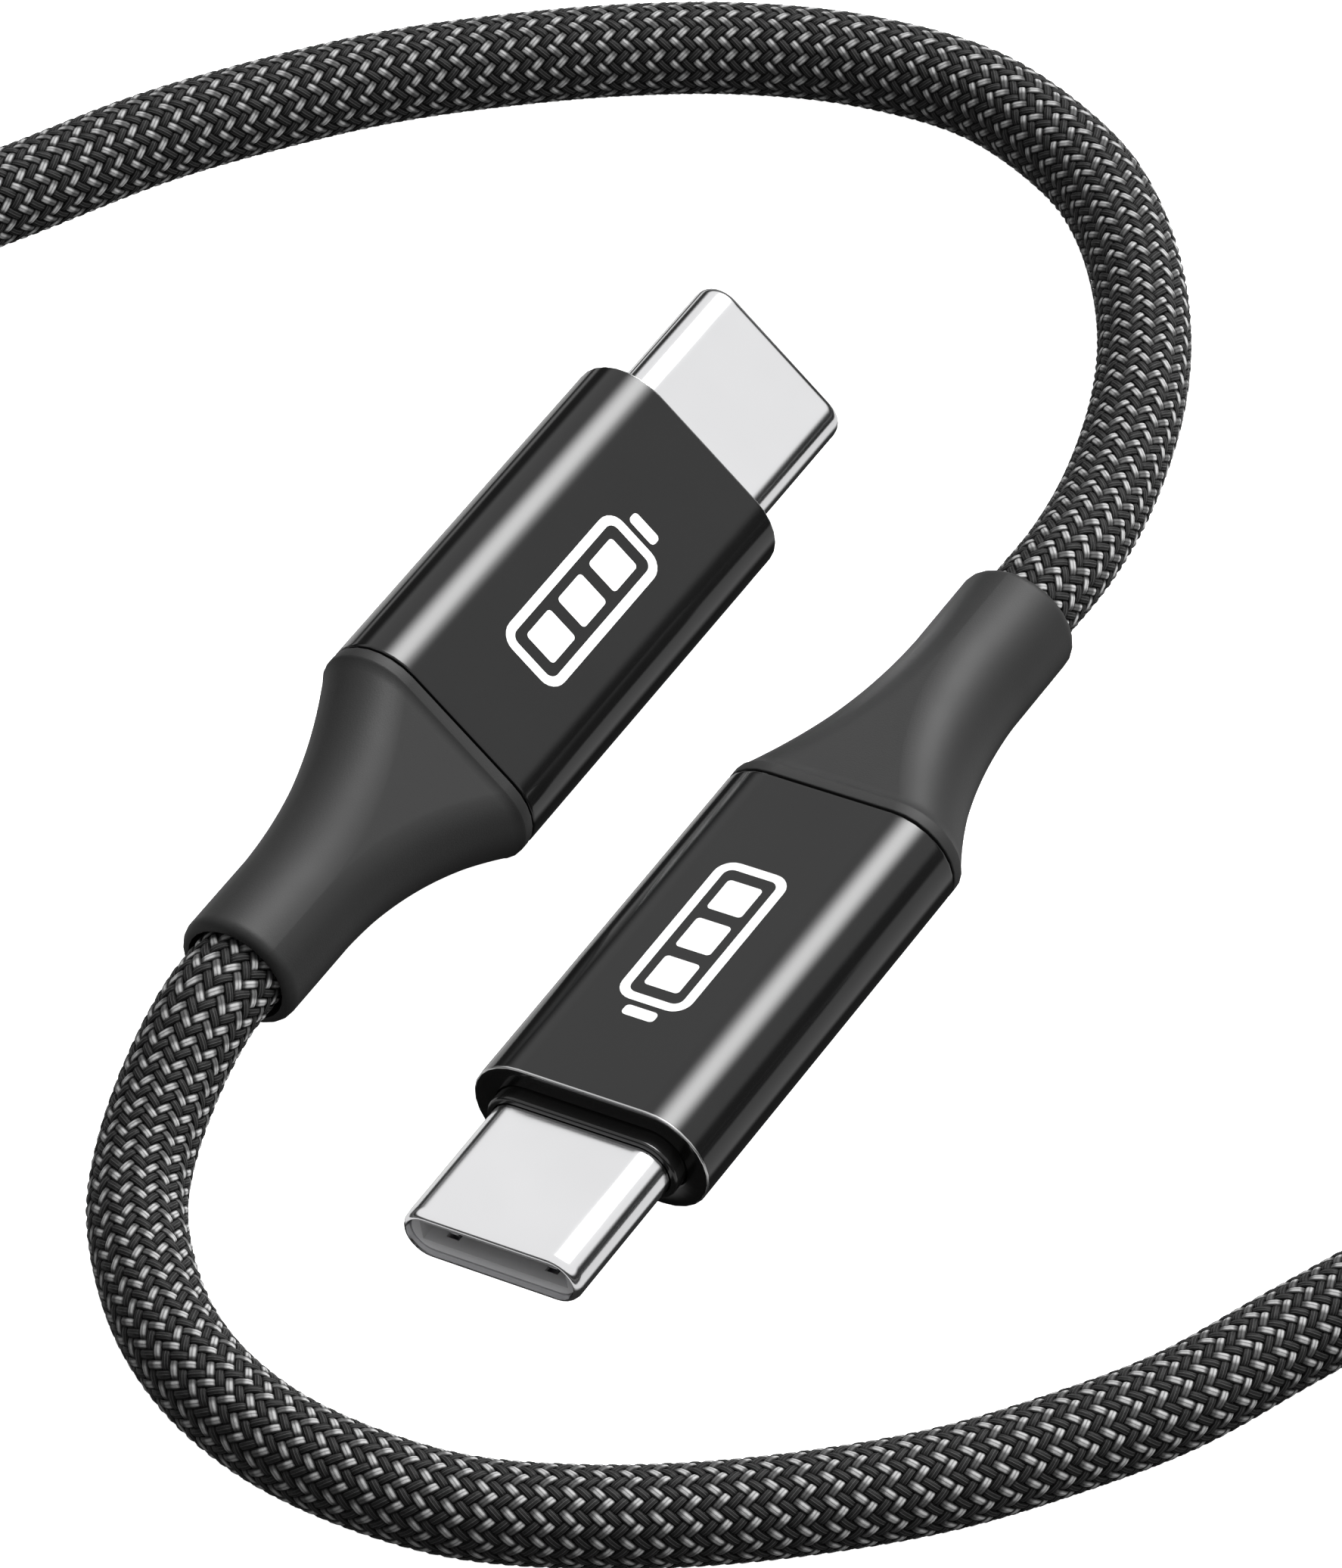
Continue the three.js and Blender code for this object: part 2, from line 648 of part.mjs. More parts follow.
// The boot: a lip the size of the sleeve, a hollow flare, and a round collar for the cord.
function strainReliefBoot() {
  const rings = [];
  const ring = (y, width, thickness) => rings.push({ y, outline: oval(width, thickness) });
  const round = bootCollarDiameter;
  for (let i = 0; i <= END_ROUND_STEPS; i++) {
    const angle = (Math.PI / 2) * (i / END_ROUND_STEPS);
    const width = round - 2 * BOOT_END_ROUND * (1 - Math.sin(angle));
    ring(bootRear + BOOT_END_ROUND * (1 - Math.cos(angle)), width, width);
  }
  const flareFront = bootFront - BOOT_LIP;
  for (let i = 0; i <= BOOT_STEPS; i++) {
    const share = (i / BOOT_STEPS) ** BOOT_FLARE_POWER;
    const y = flareFront - BOOT_FLARE_LENGTH * (1 - i / BOOT_STEPS);
    const width = round + (SLEEVE_WIDTH - round) * share;
    ring(y, width, round + (SLEEVE_THICKNESS - round) * share);
  }
  ring(bootFront, SLEEVE_WIDTH, SLEEVE_THICKNESS);
  const braidRoom = bootRear + BRAID_IN_BOOT + FIT_GAP;
  const jacketRoom = JACKET_DIAMETER / 2 + FIT_GAP;
  const bore = turned([
    [0, bootRear - CUT_PAST],
    [boreDiameter / 2, bootRear - CUT_PAST],
    [boreDiameter / 2, braidRoom],
    [jacketRoom, braidRoom],
    [jacketRoom, bootFront + CUT_PAST],
    [0, bootFront + CUT_PAST],
  ]);
  return cut(loft(rings), [bore]);
}

// ---- Assembly -----------------------------------------------------------------------------

const cable = new THREE.Group();

function addMesh(group, name, geometry, material) {
  const mesh = new THREE.Mesh(geometry, material);
  mesh.name = name;
  group.add(mesh);
}

// Half the width across a rolled oval, and the height of its middle above what it rests on.
function halfAcross(roll) {
  return ((SLEEVE_WIDTH - SLEEVE_THICKNESS) / 2) * Math.cos(roll) + SLEEVE_THICKNESS / 2;
}

function restHeight(roll) {
  const edgeUp = ((SLEEVE_WIDTH - SLEEVE_THICKNESS) / 2) * Math.abs(Math.sin(roll));
  return Math.max(edgeUp + SLEEVE_THICKNESS / 2, bootCollarDiameter / 2);
}

function addPlug(end, x, y, roll, turn) {
  const plug = new THREE.Group();
  plug.position.set(x, y, restHeight(roll));
  plug.rotation.set(0, roll, turn);
  cable.add(plug);
  const add = (name, geometry, material) => addMesh(plug, `${name}_${end}`, geometry, material);
  add("plug_shell", plugShell(), steel);
  add("contact_insert", contactInsert(), greyPlastic);
  add("contact_wafer_upper", contactWafer(1), gold);
  add("contact_wafer_lower", contactWafer(-1), gold);
  add("ground_spring_upper", groundSpring(1), springSteel);
  add("ground_spring_lower", groundSpring(-1), springSteel);
  add("latch_bridge", latchBridge(), springSteel);
  add("latch_arm_right", latchArm(1), springSteel);
  add("latch_arm_left", latchArm(-1), springSteel);
  add("circuit_card", circuitCard(), cardGreen);
  add("marker_chip", markerChip(), chipBlack);
  add("shield_half_upper", shieldHalf(1), tinPlate);
  add("shield_half_lower", shieldHalf(-1), tinPlate);
  add("inner_mould", innerMould(), mouldBlack);
  add("crimp_ferrule", crimpFerrule(), copper);
  add("wire_power", coreWire(POWER_WIRE_ACROSS, 1), wireColours.power);
  add("wire_ground", coreWire(-POWER_WIRE_ACROSS, 1), wireColours.ground);
  add("wire_data_positive", coreWire(DATA_WIRE_ACROSS, -1), wireColours.data_positive);
  add("wire_data_negative", coreWire(-DATA_WIRE_ACROSS, -1), wireColours.data_negative);
  add("front_collar", frontCollar(), glossBlack);
  add("housing_sleeve", housingSleeve(), glossBlack);
  add("strain_relief_boot", strainReliefBoot(), softBlack);
  add("cable_end", cableEnd(), braid);
}

addPlug("a", halfAcross(ROLL_A) - PAIR_WIDTH / 2, PLUG_STAGGER / 2, ROLL_A, 0);
addPlug("b", PAIR_WIDTH / 2 - halfAcross(ROLL_B), -PLUG_STAGGER / 2, ROLL_B, Math.PI);

function cordRun(route, steps) {
  const points = route.map(([x, y, z]) => new THREE.Vector3(x, y, z));
  const path = new THREE.CatmullRomCurve3(points, false, "centripetal");
  const round = new THREE.Shape().absarc(0, 0, CORD_DIAMETER / 2, 0, 2 * Math.PI);
  return new THREE.ExtrudeGeometry(round, {
    steps,
    curveSegments: CORD_SIDES / 2,
    bevelEnabled: false,
    extrudePath: path,
  });
}

const turnPitch = CORD_DIAMETER + TURN_GAP;
const bundleWidth = TURNS_IN_LAYER * turnPitch + CORD_DIAMETER;
const bundleHeight = (COIL_LAYERS - 1) * turnPitch + CORD_DIAMETER;
const bundleLow = STRAP_THICKNESS + FACE_GAP;

// The outer shape of the wound turns: a ring with softened edges.
function coilRing() {
  const inner = COIL_MEAN_RADIUS - bundleWidth / 2;
  const outer = COIL_MEAN_RADIUS + bundleWidth / 2;
  const top = bundleLow + bundleHeight;
  const soft = CORD_DIAMETER / 4;
  const section = turned(
    [
      [inner + soft, bundleLow],
      [outer - soft, bundleLow],
      [outer, bundleLow + soft],
      [outer, top - soft],
      [outer - soft, top],
      [inner + soft, top],
      [inner, top - soft],
      [inner, bundleLow + soft],
      [inner + soft, bundleLow],
    ],
    RING_STEPS,
  );
  return section.rotateX(Math.PI / 2).translate(COIL_CENTRE.x, COIL_CENTRE.y, 0);
}

// The strap: a closed band round the bundle, on the side of the coil away from the plugs.
function strap() {
  const halfWidth = STRAP_WIDTH / 2;
  const innerRadius = COIL_MEAN_RADIUS - bundleWidth / 2;
  const inside = innerRadius - Math.sqrt(innerRadius ** 2 - halfWidth ** 2);
  const holeWidth = bundleWidth + inside + 2 * FACE_GAP;
  const holeHeight = bundleHeight + 2 * FACE_GAP;
  const outside = rectangle(holeWidth + 2 * STRAP_THICKNESS, holeHeight + 2 * STRAP_THICKNESS);
  const shape = new THREE.Shape(outside);
  shape.holes.push(new THREE.Path(rectangle(holeWidth, holeHeight)));
  const band = new THREE.ExtrudeGeometry(shape, { depth: STRAP_WIDTH, bevelEnabled: false });
  return band
    .translate(0, 0, -halfWidth)
    .rotateX(Math.PI / 2)
    .translate(
      COIL_CENTRE.x + COIL_MEAN_RADIUS - inside / 2,
      COIL_CENTRE.y,
      STRAP_THICKNESS + holeHeight / 2,
    );
}

addMesh(cable, "cord_run_a", cordRun(RUN_A, RUN_A_STEPS), braid);
addMesh(cable, "cord_coil", coilRing(), braid);
addMesh(cable, "cord_run_b", cordRun(RUN_B, RUN_B_STEPS), braid);
addMesh(cable, "coil_strap", strap(), strapBlack);

export default cable;
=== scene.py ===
import math

import bmesh
import bpy
from mathutils import Matrix, Vector


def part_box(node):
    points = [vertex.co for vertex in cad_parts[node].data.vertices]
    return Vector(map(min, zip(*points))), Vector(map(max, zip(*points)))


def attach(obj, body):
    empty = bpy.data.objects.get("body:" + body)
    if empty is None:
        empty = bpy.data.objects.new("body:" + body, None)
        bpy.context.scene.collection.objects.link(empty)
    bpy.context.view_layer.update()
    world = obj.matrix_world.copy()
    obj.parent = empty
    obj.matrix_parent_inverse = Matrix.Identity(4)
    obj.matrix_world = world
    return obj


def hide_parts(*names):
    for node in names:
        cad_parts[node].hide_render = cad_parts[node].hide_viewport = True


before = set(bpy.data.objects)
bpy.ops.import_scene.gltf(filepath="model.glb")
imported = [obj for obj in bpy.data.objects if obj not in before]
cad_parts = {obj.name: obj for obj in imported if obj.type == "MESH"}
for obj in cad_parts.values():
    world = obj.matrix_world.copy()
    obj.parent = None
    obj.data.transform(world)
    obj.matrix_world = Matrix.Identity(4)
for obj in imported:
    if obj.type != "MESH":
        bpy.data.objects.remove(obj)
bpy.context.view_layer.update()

# ---- Camera -----------------------------------------------------------------------------------
# The cable is seen from above on the side of plug B, with the two plugs in the middle of the
# view. The spare length lies outside the view on the right.

MM = 0.001  # sizes are given in millimetres, and the frame is in metres
eye = Vector((151.24, -241.42, 312.31)) * MM
looked_at = Vector((0.37, 1.70, 3.0)) * MM
camera = bpy.data.objects.new("camera", bpy.data.cameras.new("camera"))
camera.data.sensor_fit = "HORIZONTAL"
camera.data.sensor_width = 36.0
camera.data.lens = 280.96
camera.data.clip_start = 0.01
camera.location = eye
camera.rotation_euler = (looked_at - eye).to_track_quat("-Z", "Y").to_euler()
bpy.context.scene.collection.objects.link(camera)
bpy.context.scene.camera = camera
bpy.context.scene.view_settings.view_transform = "Standard"

# ---- Floor and light --------------------------------------------------------------------------
# A white table under a pale dome, with one long soft lamp overhead and a key light on the right
# for the matt surfaces. Dark flags low down all round, and the dark under the table's edge, draw
# the dark lines along the plugs' round sides.


def put(tree, kind, feeds=None, **settings):
    """Adds a node to a tree. feeds gives its inputs, by name or number, values or sockets."""
    node = tree.nodes.new(kind)
    for name, value in settings.items():
        setattr(node, name, value)
    for name, value in (feeds or {}).items():
        if isinstance(value, bpy.types.NodeSocket):
            tree.links.new(value, node.inputs[name])
        else:
            node.inputs[name].default_value = value
    return node


def calc(tree, operation, *values):
    return put(tree, "ShaderNodeMath", dict(enumerate(values)), operation=operation).outputs[0]


def product(tree, first, second):
    return calc(tree, "MULTIPLY", first, second)


def ramp(tree, value, start, end, low=0.0, high=1.0):
    """A smooth step from low at start to high at end."""
    feeds = {"Value": value, "From Min": start, "From Max": end, "To Min": low, "To Max": high}
    return put(tree, "ShaderNodeMapRange", feeds, interpolation_type="SMOOTHSTEP").outputs[0]


def band(tree, value, edges):
    """Rises from 0 to 1 between the first two edges, and falls back between the last two."""
    rising = ramp(tree, value, edges[0], edges[1])
    falling = ramp(tree, value, edges[2], edges[3], 1.0, 0.0)
    return product(tree, rising, falling)


LAMP_LIGHT = 15.0
LAMP_EDGES = [math.radians(a) for a in (-30, 2, 6, 34)]  # across, from overhead
LAMP_ENDS = (0.22, 0.42, 0.74, 0.92)  # along the plugs
DOME_LIGHT = 0.92
DOME_EDGE = (0.24, 0.42)  # of height, where the dark flags end and the pale dome starts
FLAG_LIGHT = 0.03
BOUNCE_LIGHT = 0.75  # from the table's far parts, seen only in the plugs' round sides
BOUNCE_EDGES = (-0.72, -0.58, -0.06, 0.02)
MATT_SHARE = 0.38  # of all this light, what matt surfaces get; the key light gives the rest

world = bpy.data.worlds.new("studio")
bpy.context.scene.world = world
world.use_nodes = True
sky = world.node_tree
sky.nodes.clear()
towards = put(sky, "ShaderNodeTexCoord").outputs["Generated"]
ways = put(sky, "ShaderNodeSeparateXYZ", {0: towards}).outputs
roll = calc(sky, "ARCTAN2", ways["X"], ways["Z"])
lamp = product(sky, band(sky, roll, LAMP_EDGES), band(sky, ways["Y"], LAMP_ENDS))
dome = ramp(sky, ways["Z"], DOME_EDGE[0], DOME_EDGE[1], FLAG_LIGHT, DOME_LIGHT)
bounce = product(sky, band(sky, ways["Z"], BOUNCE_EDGES), BOUNCE_LIGHT)
even = calc(sky, "ADD", dome, bounce)
full = calc(sky, "MULTIPLY_ADD", lamp, LAMP_LIGHT, even)
rays = put(sky, "ShaderNodeLightPath").outputs
softer = calc(sky, "MULTIPLY_ADD", rays["Is Diffuse Ray"], MATT_SHARE - 1.0, 1.0)
lit = product(sky, full, softer)
radiance = calc(sky, "MAXIMUM", lit, rays["Is Camera Ray"])  # plain white behind the object
background = put(sky, "ShaderNodeBackground", {"Color": (1, 1, 1, 1), "Strength": radiance})
put(sky, "ShaderNodeOutputWorld", {"Surface": background.outputs[0]})

FLOOR_SIZE = 6.0  # metres
FLOOR_GLOW = 0.95
half = FLOOR_SIZE / 2
floor_data = bpy.data.meshes.new("floor")
floor_corners = [(-half, -half, 0), (half, -half, 0), (half, half, 0), (-half, half, 0)]
floor_data.from_pydata(floor_corners, [], [(0, 1, 2, 3)])
table_white = bpy.data.materials.new("white table")
table_white.use_nodes = True
surface = table_white.node_tree.nodes["Principled BSDF"].inputs
surface["Base Color"].default_value = (0.88, 0.88, 0.88, 1)
surface["Roughness"].default_value = 0.9
surface["Specular IOR Level"].default_value = 0.0
surface["Emission Color"].default_value = (1, 1, 1, 1)
surface["Emission Strength"].default_value = FLOOR_GLOW
floor_data.materials.append(table_white)
floor = bpy.data.objects.new("floor", floor_data)
floor.visible_glossy = False
floor.visible_diffuse = False
bpy.context.scene.collection.objects.link(floor)

KEY_POWER = 3.6
KEY_SIZE = 0.35
KEY_PLACE = Vector((0.48, 0.24, 0.26))
key = bpy.data.objects.new("key_light", bpy.data.lights.new("key_light", "AREA"))
key.data.energy = KEY_POWER
key.data.size = KEY_SIZE
key.location = KEY_PLACE
key.rotation_euler = (-KEY_PLACE).to_track_quat("-Z", "Y").to_euler()
key.visible_glossy = False
bpy.context.scene.collection.objects.link(key)

# ---- Cord: route and core ---------------------------------------------------------------------
# A flexible cord of insulated cores under a tight braid. It leaves boot A, bends round in front
# of the plugs, is wound into two layers of turns, and comes back behind the plugs to boot B.

CORD_DIAMETER = 4.0
BRAID_IN_BOOT = 9.0
ROUTE_STEP = 1.0
RUN_A = [
    (-8.19, -17.4, 4.32), (-8.19, -18.6, 4.25), (-8.1, -20.4, 3.75), (-7.8, -22.6, 2.95),
    (-7.1, -25.1, 2.3), (-5.9, -27.6, 2.05), (-4.0, -29.9, 2.0), (-1.7, -31.9, 2.0),
    (0.8, -33.3, 2.0), (3.4, -34.1, 2.0), (6.0, -34.4, 2.0), (9.4, -34.2, 2.0),
    (12.9, -33.4, 2.0), (17.0, -31.4, 2.0), (20.9, -28.8, 2.0), (24.5, -25.8, 2.0),
    (27.8, -22.5, 2.0), (30.7, -18.7, 2.0), (33.3, -14.6, 2.0), (35.3, -9.9, 2.0),
    (38.5, -2.3, 2.0),
]
RUN_B = [
    (67.9, -26.5, 3.1), (60.0, -32.7, 2.1), (52.0, -37.5, 2.0), (43.0, -41.8, 2.0),
    (34.0, -45.2, 2.0), (24.5, -48.2, 2.0), (15.0, -50.3, 2.0), (5.0, -51.5, 2.0),
    (-5.0, -51.3, 2.0), (-15.0, -49.6, 2.0), (-24.5, -45.8, 2.0), (-33.0, -40.0, 2.0),
    (-40.0, -32.4, 2.0), (-45.3, -23.0, 2.0), (-48.3, -12.5, 2.0), (-48.6, -1.5, 2.0),
    (-46.0, 9.0, 2.0), (-41.4, 18.0, 2.0), (-38.8, 22.8, 2.0), (-35.7, 27.2, 2.0),
    (-32.3, 31.3, 2.0), (-28.5, 34.9, 2.0), (-24.4, 38.2, 2.0), (-20.0, 41.0, 2.0),
    (-15.2, 43.0, 2.0), (-9.8, 43.8, 2.0), (-4.1, 42.2, 2.0), (-1.3, 40.3, 2.0),
    (1.2, 37.7, 2.0), (3.3, 34.7, 2.0), (4.9, 31.5, 2.05), (6.1, 28.1, 2.15),
    (7.0, 24.6, 2.4), (7.55, 21.0, 2.82), (7.61, 18.8, 2.98), (7.61, 17.4, 3.01),
]

COIL_X = 66.7
COIL_Y = 2.0
COIL_OUTER_RADIUS = 24.7
COIL_ENTRY = 158.3  # degrees, where the cord comes in on the outside of the lower layer
COIL_TURNS_DOWN = 2.3
CLIMB = 60.0  # degrees of turn in which it climbs to the upper layer
UPPER_LAYER = 765.0  # degrees of turn in the upper layer, from the inside outwards
TURN_PITCH = 4.1
COIL_STEP = 15.0
STRAP_LIFT = 1.1  # the turns lean on the strap where it passes under them

coil_points = []
climb_start = COIL_ENTRY - 360 * COIL_TURNS_DOWN
climb_end = climb_start - CLIMB
coil_exit = climb_end - UPPER_LAYER
angle = COIL_ENTRY
while angle >= coil_exit:
    wound = COIL_ENTRY - max(angle, climb_start) - max(climb_end - angle, 0.0)
    radius = COIL_OUTER_RADIUS - TURN_PITCH * wound / 360
    turn = math.radians(angle)
    climbed = min(max((climb_start - angle) / CLIMB, 0.0), 1.0)
    lifted = STRAP_LIFT * (1 + math.cos(turn)) / 2
    height = CORD_DIAMETER / 2 + lifted + TURN_PITCH * climbed * climbed * (3 - 2 * climbed)
    place = (COIL_X + radius * math.cos(turn), COIL_Y + radius * math.sin(turn), height)
    coil_points.append(place)
    angle -= COIL_STEP


def smooth_line(points, step):
    """Places about a step apart on the smooth curve that goes through the points."""
    given = [Vector(p) for p in points]
    given = [2 * given[0] - given[1], *given, 2 * given[-1] - given[-2]]
    places = []
    for p0, p1, p2, p3 in zip(given, given[1:], given[2:], given[3:]):
        k1 = math.sqrt((p1 - p0).length)
        k2 = k1 + math.sqrt((p2 - p1).length)
        k3 = k2 + math.sqrt((p3 - p2).length)
        pieces = max(1, round((p2 - p1).length / step))
        for i in range(pieces):
            k = k1 + (k2 - k1) * i / pieces
            a1 = p0.lerp(p1, k / k1)
            a2 = p1.lerp(p2, (k - k1) / (k2 - k1))
            a3 = p2.lerp(p3, (k - k2) / (k3 - k2))
            b1 = a1.lerp(a2, k / k2)
            b2 = a2.lerp(a3, (k - k1) / (k3 - k1))
            places.append(b1.lerp(b2, (k - k1) / (k2 - k1)))
    places.append(given[-2])
    return places


boot_a_mouth = Vector(RUN_A[0])
boot_b_mouth = Vector(RUN_B[-1])
in_boot_a = [boot_a_mouth + Vector((0, back, 0)) for back in (BRAID_IN_BOOT, BRAID_IN_BOOT / 2)]
in_boot_b = [boot_b_mouth - Vector((0, back, 0)) for back in (BRAID_IN_BOOT / 2, BRAID_IN_BOOT)]
route = smooth_line([*in_boot_a, *RUN_A, *coil_points, *RUN_B, *in_boot_b], ROUTE_STEP)
route = [place * MM for place in route]
cord_length = sum((b - a).length for a, b in zip(route, route[1:]))


def group_socket(tree, name, kind, way="INPUT", value=None):
    socket = tree.interface.new_socket(name, in_out=way, socket_type="NodeSocket" + kind)
    if value is not None:
        socket.default_value = value


PATCHES = 180.0  # to a metre
PATCH_LOW = 0.3
PATCH_HIGH = 0.7
grain_group = bpy.data.node_groups.new("fine grain", "ShaderNodeTree")
for name, value in (("Grains per mm", 5.0), ("Smooth", 0.3), ("Rough", 0.4), ("Depth mm", 0.01)):
    group_socket(grain_group, name, "Float", value=value)
group_socket(grain_group, "Patch", "Float", "OUTPUT")
group_socket(grain_group, "Roughness", "Float", "OUTPUT")
group_socket(grain_group, "Normal", "Vector", "OUTPUT")
given = put(grain_group, "NodeGroupInput").outputs
where = put(grain_group, "ShaderNodeTexCoord").outputs["Object"]
per_metre = product(grain_group, given["Grains per mm"], 1 / MM)
feeds = {"Vector": where, "Scale": per_metre, "Detail": 3.0, "Roughness": 0.6}
grain = put(grain_group, "ShaderNodeTexNoise", feeds).outputs[0]
feeds = {"Vector": where, "Scale": PATCHES, "Detail": 2.0}
patch = put(grain_group, "ShaderNodeTexNoise", feeds).outputs[0]
feeds = {"Value": patch, "From Min": PATCH_LOW, "From Max": PATCH_HIGH}
feeds.update({"To Min": given["Smooth"], "To Max": given["Rough"]})
rough = put(grain_group, "ShaderNodeMapRange", feeds).outputs[0]
depth = product(grain_group, given["Depth mm"], MM)
bump = put(grain_group, "ShaderNodeBump", {"Height": grain, "Distance": depth}).outputs[0]
put(grain_group, "NodeGroupOutput", {"Patch": patch, "Roughness": rough, "Normal": bump})


def grey(value):
    return (value, value, value)


def finish(name, dark, light, smooth, rough, grains, depth, metallic=0.0, shine=0.5, sheen=0.0):
    """A material whose colour and gloss vary a little over a fine grain."""
    material = bpy.data.materials.new(name)
    material.use_nodes = True
    tree = material.node_tree
    shader = tree.nodes["Principled BSDF"]
    shader.inputs["Metallic"].default_value = metallic
    shader.inputs["Specular IOR Level"].default_value = shine
    shader.inputs["Sheen Weight"].default_value = sheen
    feeds = {"Grains per mm": grains, "Smooth": smooth, "Rough": rough, "Depth mm": depth}
    made = put(tree, "ShaderNodeGroup", node_tree=grain_group)
    for socket, value in feeds.items():
        made.inputs[socket].default_value = value
    tint = put(tree, "ShaderNodeMix", data_type="RGBA")
    colours = [socket for socket in tint.inputs if socket.type == "RGBA"]
    colours[0].default_value = (*dark, 1)
    colours[1].default_value = (*light, 1)
    tree.links.new(made.outputs["Patch"], tint.inputs[0])
    result = [socket for socket in tint.outputs if socket.type == "RGBA"][0]
    tree.links.new(result, shader.inputs["Base Color"])
    tree.links.new(made.outputs["Roughness"], shader.inputs["Roughness"])
    tree.links.new(made.outputs["Normal"], shader.inputs["Normal"])
    return material


SAME_PLACE = 0.0005  # points this near each other are one point


def new_piece(name, places, corners, material, sharp=35.0):
    """A smooth-shaded piece whose faces are turned outwards."""
    data = bpy.data.meshes.new(name)
    data.from_pydata(places, [], corners)
    mesh = bmesh.new()
    mesh.from_mesh(data)
    bmesh.ops.remove_doubles(mesh, verts=mesh.verts, dist=SAME_PLACE * MM)
    bmesh.ops.recalc_face_normals(mesh, faces=mesh.faces)
    mesh.to_mesh(data)
    mesh.free()
    data.shade_smooth()
    data.set_sharp_from_angle(angle=math.radians(sharp))
    data.materials.append(material)
    piece = bpy.data.objects.new(name, data)
    bpy.context.scene.collection.objects.link(piece)
    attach(piece, "cable")
    return piece


CORE_RADIUS = 1.87
CORE_SIDES = 14
UP = Vector((0, 0, 1))
core_places = []
for before, place, after in zip([route[0], *route], route, [*route[1:], route[-1]]):
    ahead = (after - before).normalized()
    side = ahead.cross(UP).normalized()
    above = side.cross(ahead)
    for k in range(CORE_SIDES):
        turn = 2 * math.pi * k / CORE_SIDES
        out = side * math.cos(turn) + above * math.sin(turn)
        core_places.append(place + out * CORE_RADIUS * MM)
core_faces = []
for ring in range(len(route) - 1):
    here = ring * CORE_SIDES
    there = here + CORE_SIDES
    for k in range(CORE_SIDES):
        beyond = (k + 1) % CORE_SIDES
        core_faces.append((here + k, here + beyond, there + beyond, there + k))
last_ring = (len(route) - 1) * CORE_SIDES
core_faces.append(tuple(range(CORE_SIDES)))
core_faces.append(tuple(last_ring + k for k in range(CORE_SIDES)))
core_black = finish(
    "core black", grey(0.004), grey(0.010), smooth=0.55, rough=0.7, grains=6.0, depth=0.01
)
core = new_piece("cord_core", core_places, core_faces, core_black)
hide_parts("cord_run_a", "cord_coil", "cord_run_b")

# ---- Braid ------------------------------------------------------------------------------------
# Forty-eight flat strands of fine yarn, half of them each way round, woven over two and under
# two. Every second strand is undyed, so pale flecks stand in a dark herringbone.

STRANDS = 24
BRAID_RADIUS = 2.0
CROSSING = 0.27  # along the cord, from one crossing of two strands to the next
STRAND_WIDTH = 0.36
STRAND_CROWN = 0.07
FLOAT_REACH = 1.25  # crossings each way from the middle of a float, where its ends go under
DIVE_START = 0.5  # of the way from a float's middle to its end, where it starts to go under
DIVE_DEPTH = 2.2  # in crowns
SEEN_A = 90.0  # of the cord from each end, with finely made strands
SEEN_B = 104.0
FINE_FACES = (6, 6)  # along and across a float
COARSE_FACES = (3, 2)
CELL_STEP = 2.1  # the three kinds of float have a cell each on the map that finishes are kept on
CELL_SCALE = 0.158
CELL_START = 0.164
CELL_HEIGHT = 0.48


def vector(tree, operation, *values):
    made = put(tree, "ShaderNodeVectorMath", operation=operation)
    for i, value in enumerate(values):
        socket = made.inputs["Scale"] if operation == "SCALE" and i == 1 else made.inputs[i]
        tree.links.new(value, socket)
    return made.outputs[0]


def keep(tree, geometry, name, value, kind="FLOAT", domain="POINT"):
    feeds = {"Geometry": geometry, "Name": name, "Value": value}
    settings = {"data_type": kind, "domain": domain}
    return put(tree, "GeometryNodeStoreNamedAttribute", feeds, **settings).outputs[0]


def read(tree, name):
    settings = {"data_type": "FLOAT"}
    return put(tree, "GeometryNodeInputNamedAttribute", {"Name": name}, **settings).outputs[0]


braid = bpy.data.node_groups.new("herringbone braid", "GeometryNodeTree")
group_socket(braid, "Geometry", "Geometry")
group_socket(braid, "Geometry", "Geometry", "OUTPUT")
for name, kind, value in (
    ("First Float", "Int", 0),
    ("Floats in a Row", "Int", 10),
    ("Faces Along", "Int", FINE_FACES[0]),
    ("Faces Across", "Int", FINE_FACES[1]),
    # the end of each float that takes the painted highlight, 1 or -1 along the cord
    ("Bright End", "Float", 1.0),
    ("Strands", "Int", STRANDS),
    ("Radius", "Float", BRAID_RADIUS * MM),
    ("Crossing", "Float", CROSSING * MM),
    ("Strand Width", "Float", STRAND_WIDTH * MM),
    ("Crown", "Float", STRAND_CROWN * MM),
    ("Material", "Material", None),
):
    group_socket(braid, name, kind, value=value)
size = put(braid, "NodeGroupInput").outputs
round_step = calc(braid, "DIVIDE", product(braid, size["Radius"], math.pi), size["Strands"])
slope = calc(braid, "ARCTAN2", round_step, size["Crossing"])
round_squared = calc(braid, "POWER", round_step, 2.0)
along_squared = calc(braid, "POWER", size["Crossing"], 2.0)
strand_step = calc(braid, "SQRT", calc(braid, "ADD", round_squared, along_squared))
reach = product(braid, strand_step, FLOAT_REACH)

